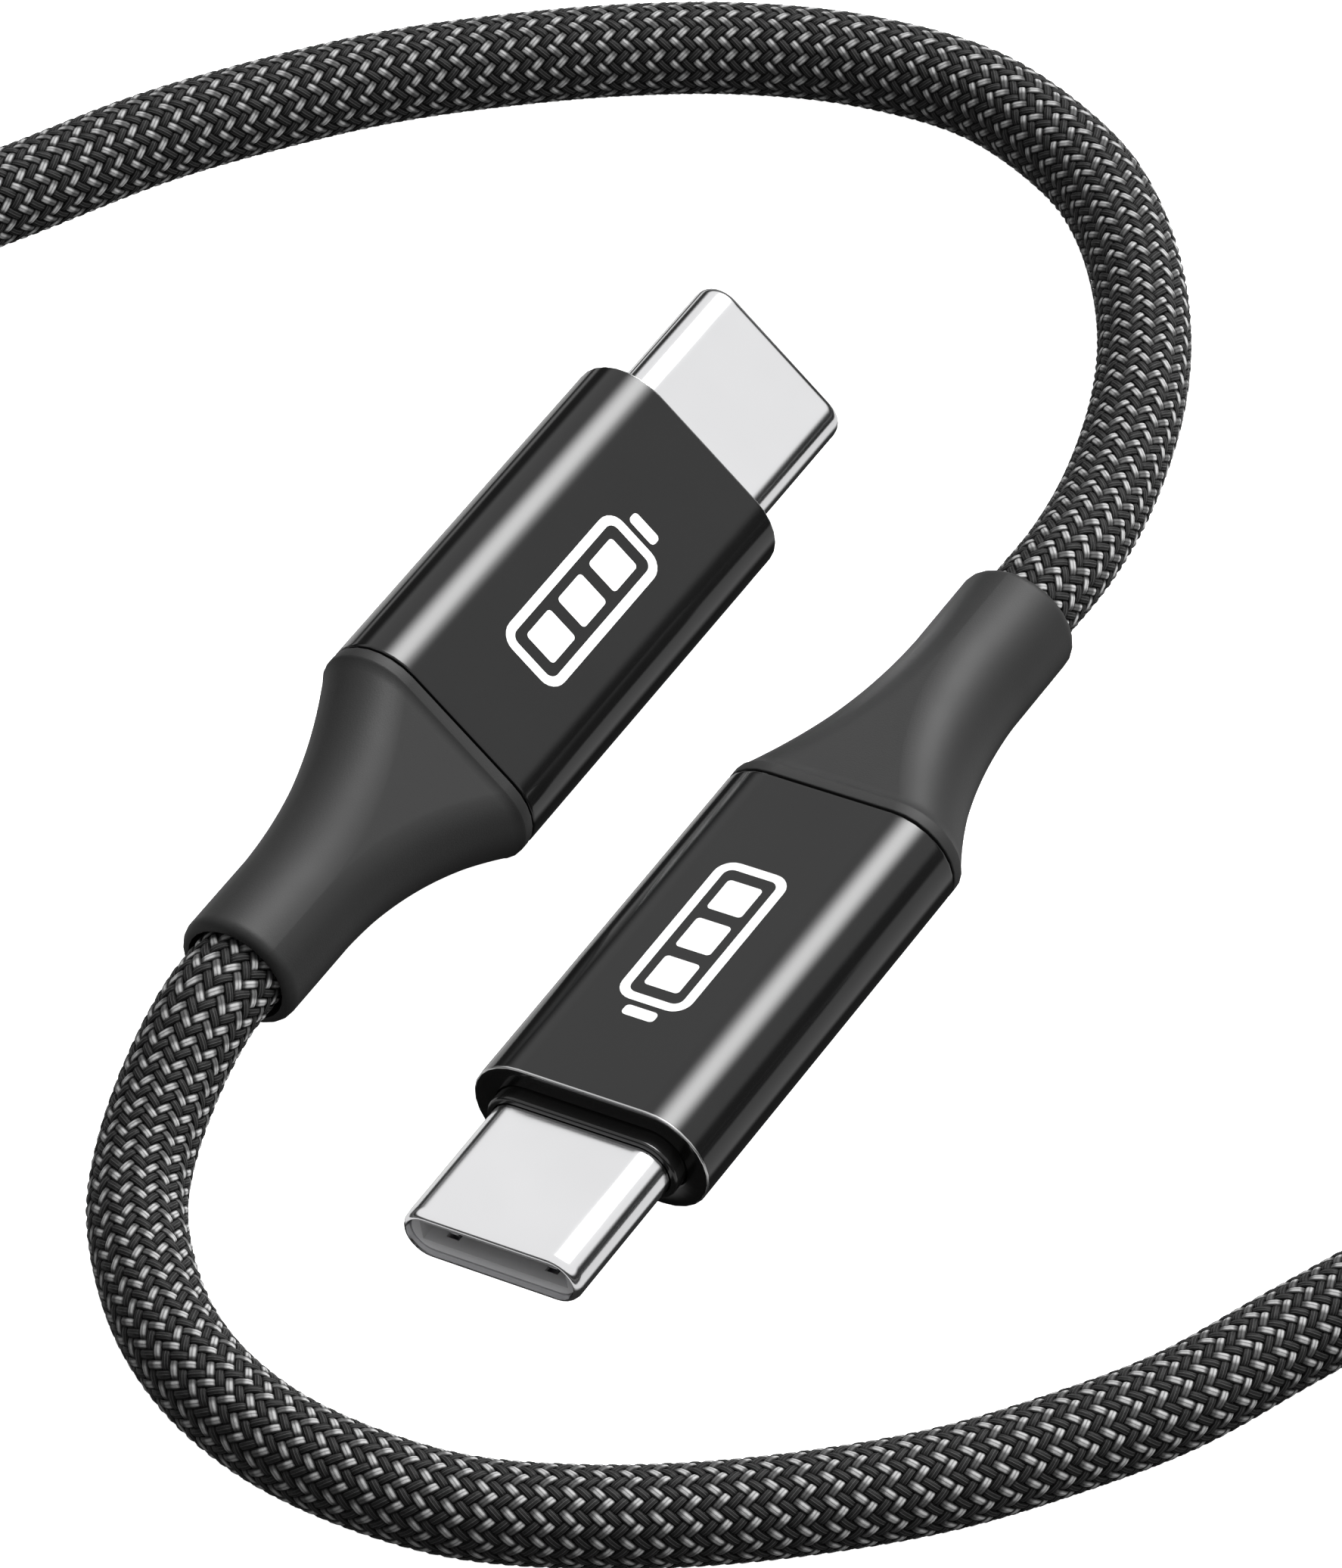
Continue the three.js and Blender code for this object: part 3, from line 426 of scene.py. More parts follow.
# One float: a narrow crowned strip whose two ends go down under its neighbours.
strip_size = {
    "Size X": product(braid, reach, 2.0),
    "Size Y": size["Strand Width"],
    "Vertices X": calc(braid, "ADD", size["Faces Along"], 1.0),
    "Vertices Y": calc(braid, "ADD", size["Faces Across"], 1.0),
}
strip = put(braid, "GeometryNodeMeshGrid", strip_size).outputs[0]
position = put(braid, "GeometryNodeInputPosition").outputs[0]
point = put(braid, "ShaderNodeSeparateXYZ", {0: position}).outputs
half_strand = product(braid, size["Strand Width"], 0.5)
strip = keep(braid, strip, "along", calc(braid, "DIVIDE", point["X"], reach))
strip = keep(braid, strip, "across", calc(braid, "DIVIDE", point["Y"], half_strand))
along = read(braid, "along")
across = read(braid, "across")
dive = ramp(braid, calc(braid, "ABSOLUTE", along), DIVE_START, 1.0, 0.0, DIVE_DEPTH)
crowned = calc(braid, "SUBTRACT", 1.0, calc(braid, "POWER", across, 2.0))
rise = product(braid, calc(braid, "SUBTRACT", crowned, dive), size["Crown"])
lift = put(braid, "ShaderNodeCombineXYZ", {"Z": rise}).outputs[0]
strip = put(braid, "GeometryNodeSetPosition", {"Geometry": strip, "Offset": lift}).outputs[0]

# The floats of the unrolled braid, in as many rows as it has strands. Rows lean by turns.
count = product(braid, size["Floats in a Row"], size["Strands"])
index = put(braid, "GeometryNodeInputIndex").outputs[0]
row = calc(braid, "MODULO", index, size["Strands"])
in_row = calc(braid, "FLOOR", calc(braid, "DIVIDE", index, size["Strands"]))
number = calc(braid, "ADD", in_row, size["First Float"])
lean = calc(braid, "MULTIPLY_ADD", calc(braid, "MODULO", row, 2.0), -2.0, 1.0)
crossings = calc(braid, "ADD", product(braid, number, 2.0), product(braid, lean, 0.5))
far = product(braid, crossings, size["Crossing"])
about = product(braid, calc(braid, "MULTIPLY_ADD", row, 2.0, 0.5), round_step)
middle = put(braid, "ShaderNodeCombineXYZ", {"X": far, "Y": about}).outputs[0]
spots = put(braid, "GeometryNodePoints", {"Count": count, "Position": middle}).outputs[0]
undyed = calc(braid, "LESS_THAN", calc(braid, "MODULO", number, 2.0), 0.5)
spots = keep(braid, spots, "undyed", undyed)
spots = keep(braid, spots, "lean", lean)
tilt = put(braid, "ShaderNodeCombineXYZ", {"Z": product(braid, slope, lean)}).outputs[0]
feeds = {"Points": spots, "Instance": strip, "Rotation": tilt}
floats = put(braid, "GeometryNodeInstanceOnPoints", feeds).outputs[0]
floats = put(braid, "GeometryNodeRealizeInstances", {"Geometry": floats}).outputs[0]

# Each point is then rolled round the cord and laid along its route.
line = put(braid, "GeometryNodeMeshToCurve", {0: size["Geometry"]}).outputs[0]
line = put(braid, "GeometryNodeSetCurveNormal", {0: line}, mode="Z_UP").outputs[0]
feeds = {"Curves": line, "Length": point["X"]}
spot = put(braid, "GeometryNodeSampleCurve", feeds, mode="LENGTH").outputs
turn = calc(braid, "DIVIDE", point["Y"], size["Radius"])
beside = vector(braid, "CROSS_PRODUCT", spot["Normal"], spot["Tangent"])
upward = vector(braid, "SCALE", spot["Normal"], calc(braid, "COSINE", turn))
sideways = vector(braid, "SCALE", beside, calc(braid, "SINE", turn))
outward = vector(braid, "ADD", upward, sideways)
bed = calc(braid, "SUBTRACT", size["Radius"], size["Crown"])
out_by = calc(braid, "ADD", bed, point["Z"])
laid = vector(braid, "ADD", spot["Position"], vector(braid, "SCALE", outward, out_by))
floats = put(braid, "GeometryNodeSetPosition", {"Geometry": floats, "Position": laid}).outputs[0]

# What the yarn's finish reads: where on each float the painted highlight falls, and each point's
# place on the map.
# The painted highlight stands for the side of the cord the light falls on: it lies at the end of
# each float towards Bright End, and further along on floats that lean against it.
towards_end = product(braid, along, size["Bright End"])
leaning = product(braid, read(braid, "lean"), size["Bright End"])
against = calc(braid, "LESS_THAN", leaning, 0.0)
bright = calc(braid, "MULTIPLY_ADD", against, 0.4, towards_end)
floats = keep(braid, floats, "bright", bright)
cell = product(braid, read(braid, "undyed"), calc(braid, "ADD", against, 1.0))
in_cell = calc(braid, "MULTIPLY_ADD", cell, CELL_STEP, towards_end)
map_x = calc(braid, "MULTIPLY_ADD", in_cell, CELL_SCALE, CELL_START)
map_y = calc(braid, "MULTIPLY_ADD", across, CELL_HEIGHT, 0.5)
folded = put(braid, "ShaderNodeCombineXYZ", {"X": map_x, "Y": map_y}).outputs[0]
floats = keep(braid, floats, "OFBake", folded, "FLOAT2", "CORNER")
floats = put(braid, "GeometryNodeSetShadeSmooth", {"Geometry": floats}).outputs[0]
feeds = {"Geometry": floats, "Material": size["Material"]}
floats = put(braid, "GeometryNodeSetMaterial", feeds).outputs[0]
put(braid, "NodeGroupOutput", {0: floats})

# Yarn: undyed strands pale, with a painted highlight at one end of each float and grey at the
# other, painted shade in the groove between two plies, dyed ones near black with painted
# highlights on three fine ridges, and painted shade in the gaps and where float ends go under.
# Places along and across a float go from -1 to 1.
UNDYED_GREY = 0.09
UNDYED_PAINTED_HIGHLIGHT = 0.38
TIP_PAINTED_SHADE = 0.2
GROOVE_PAINTED_SHADE = 0.62
DYED_BLACK = 0.012
RIDGE_PAINTED_HIGHLIGHT = 0.055
RIDGES = 3
GAP_PAINTED_SHADE = 0.05
UNDER_PAINTED_SHADE = 0.1
FIBRES = 9000.0  # to a metre
FIBRE_DEPTH = 0.02
yarn = bpy.data.materials.new("braided yarn")
yarn.use_nodes = True
tree = yarn.node_tree
shader = tree.nodes["Principled BSDF"]
shader.inputs["Roughness"].default_value = 0.5
shader.inputs["Specular IOR Level"].default_value = 0.1
noted = {}
for name in ("along", "across", "undyed", "bright"):
    noted[name] = put(tree, "ShaderNodeAttribute", attribute_name=name).outputs["Fac"]
from_middle = calc(tree, "ABSOLUTE", noted["across"])
# painted highlight: the undyed yarn goes from its grey to a bright end
painted_highlight = ramp(tree, noted["bright"], -0.15, 0.3, UNDYED_GREY, UNDYED_PAINTED_HIGHLIGHT)
# painted shade at the tip of the highlit end, where the float goes under its neighbours
painted_tip_shade = ramp(tree, noted["bright"], 0.75, 1.05, 1.0, TIP_PAINTED_SHADE)
# painted shade in the groove down the middle of each undyed float, between its two plies
painted_groove_shade = ramp(tree, from_middle, 0.05, 0.3, GROOVE_PAINTED_SHADE, 1.0)
# pale: the undyed yarn's own tone with its painted highlight and painted shade
pale = product(tree, product(tree, painted_highlight, painted_tip_shade), painted_groove_shade)
plies = calc(tree, "COSINE", product(tree, noted["across"], RIDGES * math.pi))
ridge = ramp(tree, plies, 0.55, 1.0)
# dark: the dyed yarn's near black, with a painted highlight on its ridges; the same ridges also
# raise the bump below
dark = calc(tree, "MULTIPLY_ADD", ridge, RIDGE_PAINTED_HIGHLIGHT, DYED_BLACK)
dark_share = product(tree, dark, calc(tree, "SUBTRACT", 1.0, noted["undyed"]))
share = calc(tree, "ADD", product(tree, pale, noted["undyed"]), dark_share)
# painted shade along the edges of each float, in the gaps between strands
painted_gap_shade = ramp(tree, from_middle, 0.5, 0.88, 1.0, GAP_PAINTED_SHADE)
# painted shade on the float ends where they go under their neighbours
under = ramp(tree, calc(tree, "ABSOLUTE", noted["along"]), 0.6, 0.85, 1.0, UNDER_PAINTED_SHADE)
share = product(tree, share, product(tree, painted_gap_shade, under))
tone = put(tree, "ShaderNodeCombineColor", {0: share, 1: share, 2: share})
tree.links.new(tone.outputs[0], shader.inputs["Base Color"])
where = put(tree, "ShaderNodeTexCoord").outputs["Object"]
fibre = put(tree, "ShaderNodeTexNoise", {"Vector": where, "Scale": FIBRES, "Detail": 2.0})
height = calc(tree, "MULTIPLY_ADD", ridge, 0.6, fibre.outputs[0])
bump = put(tree, "ShaderNodeBump", {"Height": height, "Distance": FIBRE_DEPTH * MM})
tree.links.new(bump.outputs[0], shader.inputs["Normal"])

line_data = bpy.data.meshes.new("cord_line")
line_data.from_pydata(route, [(i, i + 1) for i in range(len(route) - 1)], [])
row_pitch = 2 * CROSSING
floats_in_all = int(cord_length / MM / row_pitch)
seen_a_floats = int(SEEN_A / row_pitch / 2) * 2
seen_b_floats = int(SEEN_B / row_pitch / 2) * 2
hidden_floats = floats_in_all - seen_a_floats - seen_b_floats


def braid_pieces(name, first, floats, parts, faces, bright_end):
    """Cuts a stretch of the braid into parts of about the same length."""
    made = []
    start = first
    for part in range(parts):
        end = first + round(floats * (part + 1) / parts / 2) * 2
        if part == parts - 1:
            end = first + floats
        stretch = bpy.data.objects.new("stretch", line_data)
        bpy.context.scene.collection.objects.link(stretch)
        modifier = stretch.modifiers.new("braid", "NODES")
        modifier.node_group = braid
        inputs = {
            "First Float": start,
            "Floats in a Row": end - start,
            "Faces Along": faces[0],
            "Faces Across": faces[1],
            "Bright End": bright_end,
            "Material": yarn,
        }
        for item in braid.interface.items_tree:
            if item.name in inputs and item.in_out == "INPUT":
                modifier[item.identifier] = inputs[item.name]
        evaluated = stretch.evaluated_get(bpy.context.evaluated_depsgraph_get())
        data = bpy.data.meshes.new_from_object(evaluated)
        bpy.data.objects.remove(stretch)
        piece = bpy.data.objects.new(f"{name}_{part + 1}", data)
        bpy.context.scene.collection.objects.link(piece)
        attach(piece, "cable")
        made.append(piece)
        start = end
    return made


b_start = seen_a_floats + hidden_floats
# Each stretch's painted highlights face away from its boot.
braids = [
    *braid_pieces("braid_a", 0, seen_a_floats, 2, FINE_FACES, 1.0),
    *braid_pieces("braid_coil", seen_a_floats, hidden_floats, 4, COARSE_FACES, 1.0),
    *braid_pieces("braid_b", b_start, seen_b_floats, 2, FINE_FACES, -1.0),
]

# ---- Strap ------------------------------------------------------------------------------------
# A woven hook-and-loop band that holds the wound spare length. It goes round the bundle and its
# free end is pressed down over the start.

STRAP_WIDTH = 9.0
STRAP_THICKNESS = 0.8
STRAP_ROUND = 2.7
STRAP_EDGE = 0.2
TAB_THICKNESS = 0.7
TAB_INSET = 0.15  # of its sides from the band's
TAB_SHARE = (0.30, 0.83)  # of the way round, from the underside's outer corner
WEAVE_SCALE = 420.0
WEAVE_DEPTH = 0.08
CORNER_STEPS = 6
strap_low, strap_high = (Vector(corner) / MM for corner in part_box("coil_strap"))
strap_middle = (strap_low + strap_high) / 2
strap_half = (strap_high - strap_low) / 2


def rounded_rectangle(width, length, radius):
    outline = []
    for quarter, (sx, sy) in enumerate([(1, -1), (1, 1), (-1, 1), (-1, -1)]):
        for i in range(CORNER_STEPS + 1):
            turn = math.pi / 2 * (quarter - 1 + i / CORNER_STEPS)
            x = sx * (width / 2 - radius) + radius * math.cos(turn)
            y = sy * (length / 2 - radius) + radius * math.sin(turn)
            outline.append((x, y))
    return outline


def strap_outline(inset):
    """The band's outline seen along the cord, from the underside's outer corner."""
    return rounded_rectangle(
        2 * (strap_half.x - inset), 2 * (strap_half.z - inset), STRAP_ROUND - inset
    )


def strap_place(x, along, z):
    return Vector((strap_middle.x + x, strap_middle.y + along, strap_middle.z + z)) * MM


def closed_stack(loops):
    """Places and faces of a ring of loops, the last joined to the first."""
    places = [point for loop in loops for point in loop]
    width = len(loops[0])
    corners = []
    for i in range(len(loops)):
        here = i * width
        there = (i + 1) % len(loops) * width
        for k in range(width):
            after = (k + 1) % width
            corners.append((here + k, here + after, there + after, there + k))
    return places, corners


half_width = STRAP_WIDTH / 2
strap_profile = [
    (STRAP_THICKNESS, -half_width + STRAP_EDGE),
    (STRAP_THICKNESS - STRAP_EDGE, -half_width),
    (STRAP_EDGE, -half_width),
    (0.0, -half_width + STRAP_EDGE),
    (0.0, half_width - STRAP_EDGE),
    (STRAP_EDGE, half_width),
    (STRAP_THICKNESS - STRAP_EDGE, half_width),
    (STRAP_THICKNESS, half_width - STRAP_EDGE),
]
strap_loops = []
for inset, along in strap_profile:
    strap_loops.append([strap_place(x, along, z) for x, z in strap_outline(inset)])
places, corners = closed_stack(strap_loops)

fabric = finish(
    "strap weave", grey(0.010), grey(0.022), smooth=0.85, rough=0.95, grains=3.0, depth=0.05,
    sheen=0.3,
)
tree = fabric.node_tree
where = put(tree, "ShaderNodeTexCoord").outputs["Object"]
feeds = {"Vector": where, "Scale": WEAVE_SCALE}
warp = put(tree, "ShaderNodeTexWave", feeds, bands_direction="Y").outputs["Fac"]
weft = put(tree, "ShaderNodeTexWave", feeds, bands_direction="DIAGONAL").outputs["Fac"]
weave = calc(tree, "MAXIMUM", warp, weft)
bump = put(tree, "ShaderNodeBump", {"Height": weave, "Distance": WEAVE_DEPTH * MM})
tree.links.new(bump.outputs[0], tree.nodes["Principled BSDF"].inputs["Normal"])
strap = new_piece("strap_band", places, corners, fabric)
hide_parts("coil_strap")

inside = strap_outline(0.0)
outside = strap_outline(-TAB_THICKNESS)
tab_first = int(len(inside) * TAB_SHARE[0])
tab_last = int(len(inside) * TAB_SHARE[1])
tab_half = half_width - TAB_INSET
tab_places = []
for i in range(tab_first, tab_last + 1):
    tab_places.append(strap_place(inside[i][0], -tab_half, inside[i][1]))
    tab_places.append(strap_place(inside[i][0], tab_half, inside[i][1]))
    tab_places.append(strap_place(outside[i][0], tab_half - STRAP_EDGE, outside[i][1]))
    tab_places.append(strap_place(outside[i][0], STRAP_EDGE - tab_half, outside[i][1]))
tab_corners = [(0, 1, 2, 3), tuple(len(tab_places) - k for k in (4, 3, 2, 1))]
for i in range(tab_last - tab_first):
    for k in range(4):
        after = (k + 1) % 4
        tab_corners.append((4 * i + k, 4 * i + after, 4 * i + 4 + after, 4 * i + 4 + k))
strap_tab = new_piece("strap_tab", tab_places, tab_corners, fabric)

# ---- Sleeves ----------------------------------------------------------------------------------
# One drawn and polished cup round each plug, with flat broad faces, full round sides and a
# bright cut edge at its mouth. It is finished in gloss black and pressed on to the mould.

PLUGS = {
    "a": ((-8.175, 6.6, 4.316), math.radians(38.0), 0.0),
    "b": ((7.595, -6.6, 3.012), math.radians(-10.0), math.pi),
}
SLEEVE_WIDTH = 10.9
SLEEVE_THICKNESS = 5.0
SLEEVE_FRONT = 9.3
SLEEVE_REAR = -9.3
SLEEVE_WALL = 0.35
SLEEVE_FRONT_WALL = 0.8
SLEEVE_EDGE = 0.07
REAR_EDGE = 0.08
FACE_HOLD = 0.08
HOLE_WIDTH = 8.95
HOLE_THICKNESS = 3.1
HOLE_EDGE = 0.03
CUT_EDGE_LOOPS = range(8, 12)  # of the loops below, those of the front edge
SIDE_STEPS = 14
LEAST_FLAT = 0.02
FLAT_HOLD = 0.12

seat = {}
for end, (place, roll, turned) in PLUGS.items():
    stand = Matrix.Translation(Vector(place) * MM)
    lie = Matrix.Rotation(roll, 4, "Y") @ Matrix.Rotation(turned, 4, "Z")
    seat[end] = stand @ lie @ Matrix.Scale(MM, 4)


def oval(width, thickness, y):
    """A flat shape with full round sides, across the plug at y."""
    radius = thickness / 2
    straight = max(width / 2 - radius, LEAST_FLAT)
    hold = min(FLAT_HOLD, straight / 3)
    loop = []
    for sign in (1, -1):
        for i in range(SIDE_STEPS + 1):
            turn = math.pi * (i / SIDE_STEPS - 0.5)
            x = sign * (straight + radius * math.cos(turn))
            loop.append((x, y, sign * radius * math.sin(turn)))
        loop.append((sign * (straight - hold), y, sign * radius))
        loop.append((-sign * (straight - hold), y, sign * radius))
    return loop


def round_edge(width, thickness, face_y, inwards, radius, steps=4, deep=None):
    """Ovals that round an outside edge, from the face at face_y to the side."""
    deep = deep or radius
    made = []
    for i in range(steps + 1):
        turn = math.pi / 2 * i / steps
        less = 2 * radius * (1 - math.sin(turn))
        y = face_y + inwards * deep * (1 - math.cos(turn))
        made.append(oval(width - less, thickness - less, y))
    return made


def on_each_plug(name, loops, material, replaced, sharp=35.0):
    """One piece a plug from a ring of loops, standing for that plug's node."""
    made = []
    for end, matrix in seat.items():
        places, corners = closed_stack([[matrix @ Vector(p) for p in loop] for loop in loops])
        piece = new_piece(f"{name}_{end}", places, corners, material, sharp)
        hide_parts(f"{replaced}_{end}")
        made.append(piece)
    return made


inner_width = SLEEVE_WIDTH - 2 * SLEEVE_WALL
inner_thickness = SLEEVE_THICKNESS - 2 * SLEEVE_WALL
wall_rear = SLEEVE_FRONT - SLEEVE_FRONT_WALL
edge_in = 2 * (SLEEVE_EDGE + FACE_HOLD)
sleeve_loops = [
    oval(inner_width, inner_thickness, SLEEVE_REAR),
    *round_edge(SLEEVE_WIDTH, SLEEVE_THICKNESS, SLEEVE_REAR, 1, REAR_EDGE),
    oval(SLEEVE_WIDTH, SLEEVE_THICKNESS, SLEEVE_REAR + REAR_EDGE + FACE_HOLD),
    oval(SLEEVE_WIDTH, SLEEVE_THICKNESS, SLEEVE_FRONT - SLEEVE_EDGE - FACE_HOLD),
    *reversed(round_edge(SLEEVE_WIDTH, SLEEVE_THICKNESS, SLEEVE_FRONT, -1, SLEEVE_EDGE)),
    oval(SLEEVE_WIDTH - edge_in, SLEEVE_THICKNESS - edge_in, SLEEVE_FRONT),
    oval(HOLE_WIDTH + 2 * FACE_HOLD, HOLE_THICKNESS + 2 * FACE_HOLD, SLEEVE_FRONT),
    oval(HOLE_WIDTH, HOLE_THICKNESS, SLEEVE_FRONT - HOLE_EDGE),
    oval(HOLE_WIDTH, HOLE_THICKNESS, wall_rear),
    oval(inner_width, inner_thickness, wall_rear),
]
gloss_black = finish(
    "gloss black sleeve", grey(0.004), grey(0.006), smooth=0.10, rough=0.14, grains=30.0,
    depth=0.0004, shine=0.42,
)
cut_edge = finish(
    "bright cut edge", grey(0.50), grey(0.58), smooth=0.2, rough=0.3, grains=20.0, depth=0.001,
    metallic=1.0,
)
sleeves = on_each_plug("sleeve", sleeve_loops, gloss_black, "housing_sleeve")
points_round = len(sleeve_loops[0])
for sleeve in sleeves:
    sleeve.data.materials.append(cut_edge)
    for face in sleeve.data.polygons:
        if face.index // points_round in CUT_EDGE_LOOPS:
            face.material_index = 1

# ---- Printed marks ----------------------------------------------------------------------------
# A plain battery sign with three charge bars, printed in white ink on the upper broad face of
# each sleeve. It stands in for a maker's printing.

MARK_LENGTH = 9.4
MARK_WIDTH = 3.3
MARK_LINE = 0.42
MARK_MIDDLE = {"a": (0.2, -0.2), "b": (0.2, 0.4)}
CASE_ROUND = 0.8
CASE_ROUND_INSIDE = 0.4
CAP_ROOM = 1.0  # of the sign's length, beyond its case
CAP_WIDTH = 1.5
CAP_LENGTH = 0.55
CAP_ROUND = 0.2
CAP_BACK = 0.45  # of the cap's middle from the sign's end
BARS = 3
BAR_LENGTH = 1.75
BAR_PITCH = 2.35
BAR_ROUND = 0.18
INK_THICKNESS = 0.012
INK_SUNK = 0.004
ink_low = SLEEVE_THICKNESS / 2 - INK_SUNK
ink_high = SLEEVE_THICKNESS / 2 + INK_THICKNESS


def printed_shape(outer, inner, middle_x, middle_y):
    """Places and faces of a thin plate, with a hole where inner is given."""
    outlines = [(outer, ink_low), (outer, ink_high)]
    if inner:
        outlines += [(inner, ink_high), (inner, ink_low)]
    loops = [[(middle_x + x, middle_y + y, z) for x, y in outline] for outline, z in outlines]
    places, corners = closed_stack(loops)
    if not inner:
        width = len(outer)
        corners = corners[:width] + [tuple(range(width)), tuple(range(width, 2 * width))]
    return places, corners


case_length = MARK_LENGTH - CAP_ROOM
hole_width = MARK_WIDTH - 2 * MARK_LINE
case_outside = rounded_rectangle(MARK_WIDTH, case_length, CASE_ROUND)
case_inside = rounded_rectangle(hole_width, case_length - 2 * MARK_LINE, CASE_ROUND_INSIDE)
cap = rounded_rectangle(CAP_WIDTH, CAP_LENGTH, CAP_ROUND)
bar = rounded_rectangle(MARK_WIDTH - 4 * MARK_LINE, BAR_LENGTH, BAR_ROUND)
white_ink = finish(
    "white ink", grey(0.86), grey(0.92), smooth=0.35, rough=0.45, grains=20.0, depth=0.002
)
for end, (mark_x, mark_y) in MARK_MIDDLE.items():
    case_y = mark_y - CAP_ROOM / 2
    shapes = [
        printed_shape(case_outside, case_inside, mark_x, case_y),
        printed_shape(cap, None, mark_x, mark_y + MARK_LENGTH / 2 - CAP_BACK),
    ]
    for i in range(BARS):
        shapes.append(printed_shape(bar, None, mark_x, case_y + (i - 1) * BAR_PITCH))
    all_places = []
    all_corners = []
    for places, corners in shapes:
        first = len(all_places)
        all_places += [seat[end] @ Vector(p) for p in places]
        all_corners += [tuple(first + k for k in corner) for corner in corners]
    new_piece(f"printed_mark_{end}", all_places, all_corners, white_ink)

# ---- Front collars ----------------------------------------------------------------------------
# A short moulded ring round the root of the metal shell, pushed through the hole in the
# sleeve's front. It is high-gloss black plastic.

COLLAR_WIDTH = 8.85
COLLAR_THICKNESS = 3.0
COLLAR_WALL = 0.25
COLLAR_FRONT = 10.0
COLLAR_REAR = 7.1
COLLAR_EDGE = 0.1
COLLAR_HOLD = 0.05
inner_width = COLLAR_WIDTH - 2 * COLLAR_WALL
inner_thickness = COLLAR_THICKNESS - 2 * COLLAR_WALL
collar_loops = [
    oval(inner_width, inner_thickness, COLLAR_REAR),
    oval(COLLAR_WIDTH, COLLAR_THICKNESS, COLLAR_REAR),
    oval(COLLAR_WIDTH, COLLAR_THICKNESS, COLLAR_FRONT - COLLAR_EDGE - COLLAR_HOLD),
    *reversed(round_edge(COLLAR_WIDTH, COLLAR_THICKNESS, COLLAR_FRONT, -1, COLLAR_EDGE)),
    oval(inner_width, inner_thickness, COLLAR_FRONT),
]
collar_black = finish(
    "gloss black collar", grey(0.006), grey(0.009), smooth=0.10, rough=0.16, grains=20.0,
    depth=0.001,
)
on_each_plug("collar", collar_loops, collar_black, "front_collar")

# ---- Plug shells ------------------------------------------------------------------------------
# The plug's outer shell, drawn from stainless steel sheet without a seam. Its mouth is rolled
# and polished, and its root is held in the mould.

SHELL_WIDTH = 8.25
SHELL_THICKNESS = 2.4
SHELL_WALL = 0.25
SHELL_REAR = 5.1
SHELL_TIP = 16.65
SHELL_HOLD = 0.08
MOUTH_ROUND = 0.24
MOUTH_ROUND_DEEP = 0.42
MOUTH_STEPS = 8
LIP_FLARE = 0.01
LIP_DEPTH = 0.05
LIP_HOLD = 0.12
inner_width = SHELL_WIDTH - 2 * SHELL_WALL
inner_thickness = SHELL_THICKNESS - 2 * SHELL_WALL
mouth = round_edge(
    SHELL_WIDTH, SHELL_THICKNESS, SHELL_TIP, -1, MOUTH_ROUND, MOUTH_STEPS, MOUTH_ROUND_DEEP
)
shell_loops = [
    oval(inner_width, inner_thickness, SHELL_REAR),
    oval(SHELL_WIDTH, SHELL_THICKNESS, SHELL_REAR),
    oval(SHELL_WIDTH, SHELL_THICKNESS, SHELL_TIP - MOUTH_ROUND_DEEP - SHELL_HOLD),
    *reversed(mouth),
    oval(inner_width + LIP_FLARE, inner_thickness + LIP_FLARE, SHELL_TIP),
    oval(inner_width, inner_thickness, SHELL_TIP - LIP_DEPTH),
    oval(inner_width, inner_thickness, SHELL_TIP - LIP_HOLD),
]
steel = finish(
    "polished steel shell", (0.80, 0.80, 0.81), (0.86, 0.86, 0.87), smooth=0.11, rough=0.17,
    grains=40.0, depth=0.0004, metallic=1.0,
)
on_each_plug("shell", shell_loops, steel, "plug_shell")

# ---- Strain relief boots ----------------------------------------------------------------------
# A soft elastomer boot behind each sleeve: a lip that meets the sleeve, a flare that thins to a
# round collar, and a bore for the cord. It is moulded over the crimp.

BOOT_FRONT = -9.4
BOOT_REAR = -23.7
BOOT_LIP = 0.6
BOOT_EDGE = 0.06
BOOT_FACE_IN = 0.5
LIP_IN = 0.14
LIP_REAR = ((0.0, 0.12), (0.02, 0.06), (LIP_IN, 0.0))  # less wide, and ahead of the flare
BOOT_FLARE = 10.5
BOOT_POWER = 2.3
FLARE_STEPS = 26
BOOT_ROUND = 5.3
REAR_ROUND = 0.45
REAR_STEPS = 7
REAR_HOLD = 0.1
BOOT_BORE = 4.5
BOOT_BORE_DEPTH = 9.6
BORE_FLARE = 0.06
BORE_EDGE = 0.01
BORE_HOLD = 0.05
JACKET_BORE = 3.0
SOFT_EDGES = 60.0  # degrees, below which an edge is shaded smooth


def ring(diameter, y):
    return oval(diameter, diameter, y)


flare_front = BOOT_FRONT - BOOT_LIP
boot_loops = [
    ring(JACKET_BORE, BOOT_FRONT),
    oval(SLEEVE_WIDTH - BOOT_FACE_IN, SLEEVE_THICKNESS - BOOT_FACE_IN, BOOT_FRONT),
    *round_edge(SLEEVE_WIDTH, SLEEVE_THICKNESS, BOOT_FRONT, -1, BOOT_EDGE),
]
for less, ahead in LIP_REAR:
    boot_loops.append(oval(SLEEVE_WIDTH - less, SLEEVE_THICKNESS - less, flare_front + ahead))
for i in range(1, FLARE_STEPS + 1):
    share = (1 - i / FLARE_STEPS) ** BOOT_POWER
    width = BOOT_ROUND + (SLEEVE_WIDTH - LIP_IN - BOOT_ROUND) * share
    thickness = BOOT_ROUND + (SLEEVE_THICKNESS - LIP_IN - BOOT_ROUND) * share
    boot_loops.append(oval(width, thickness, flare_front - BOOT_FLARE * i / FLARE_STEPS))
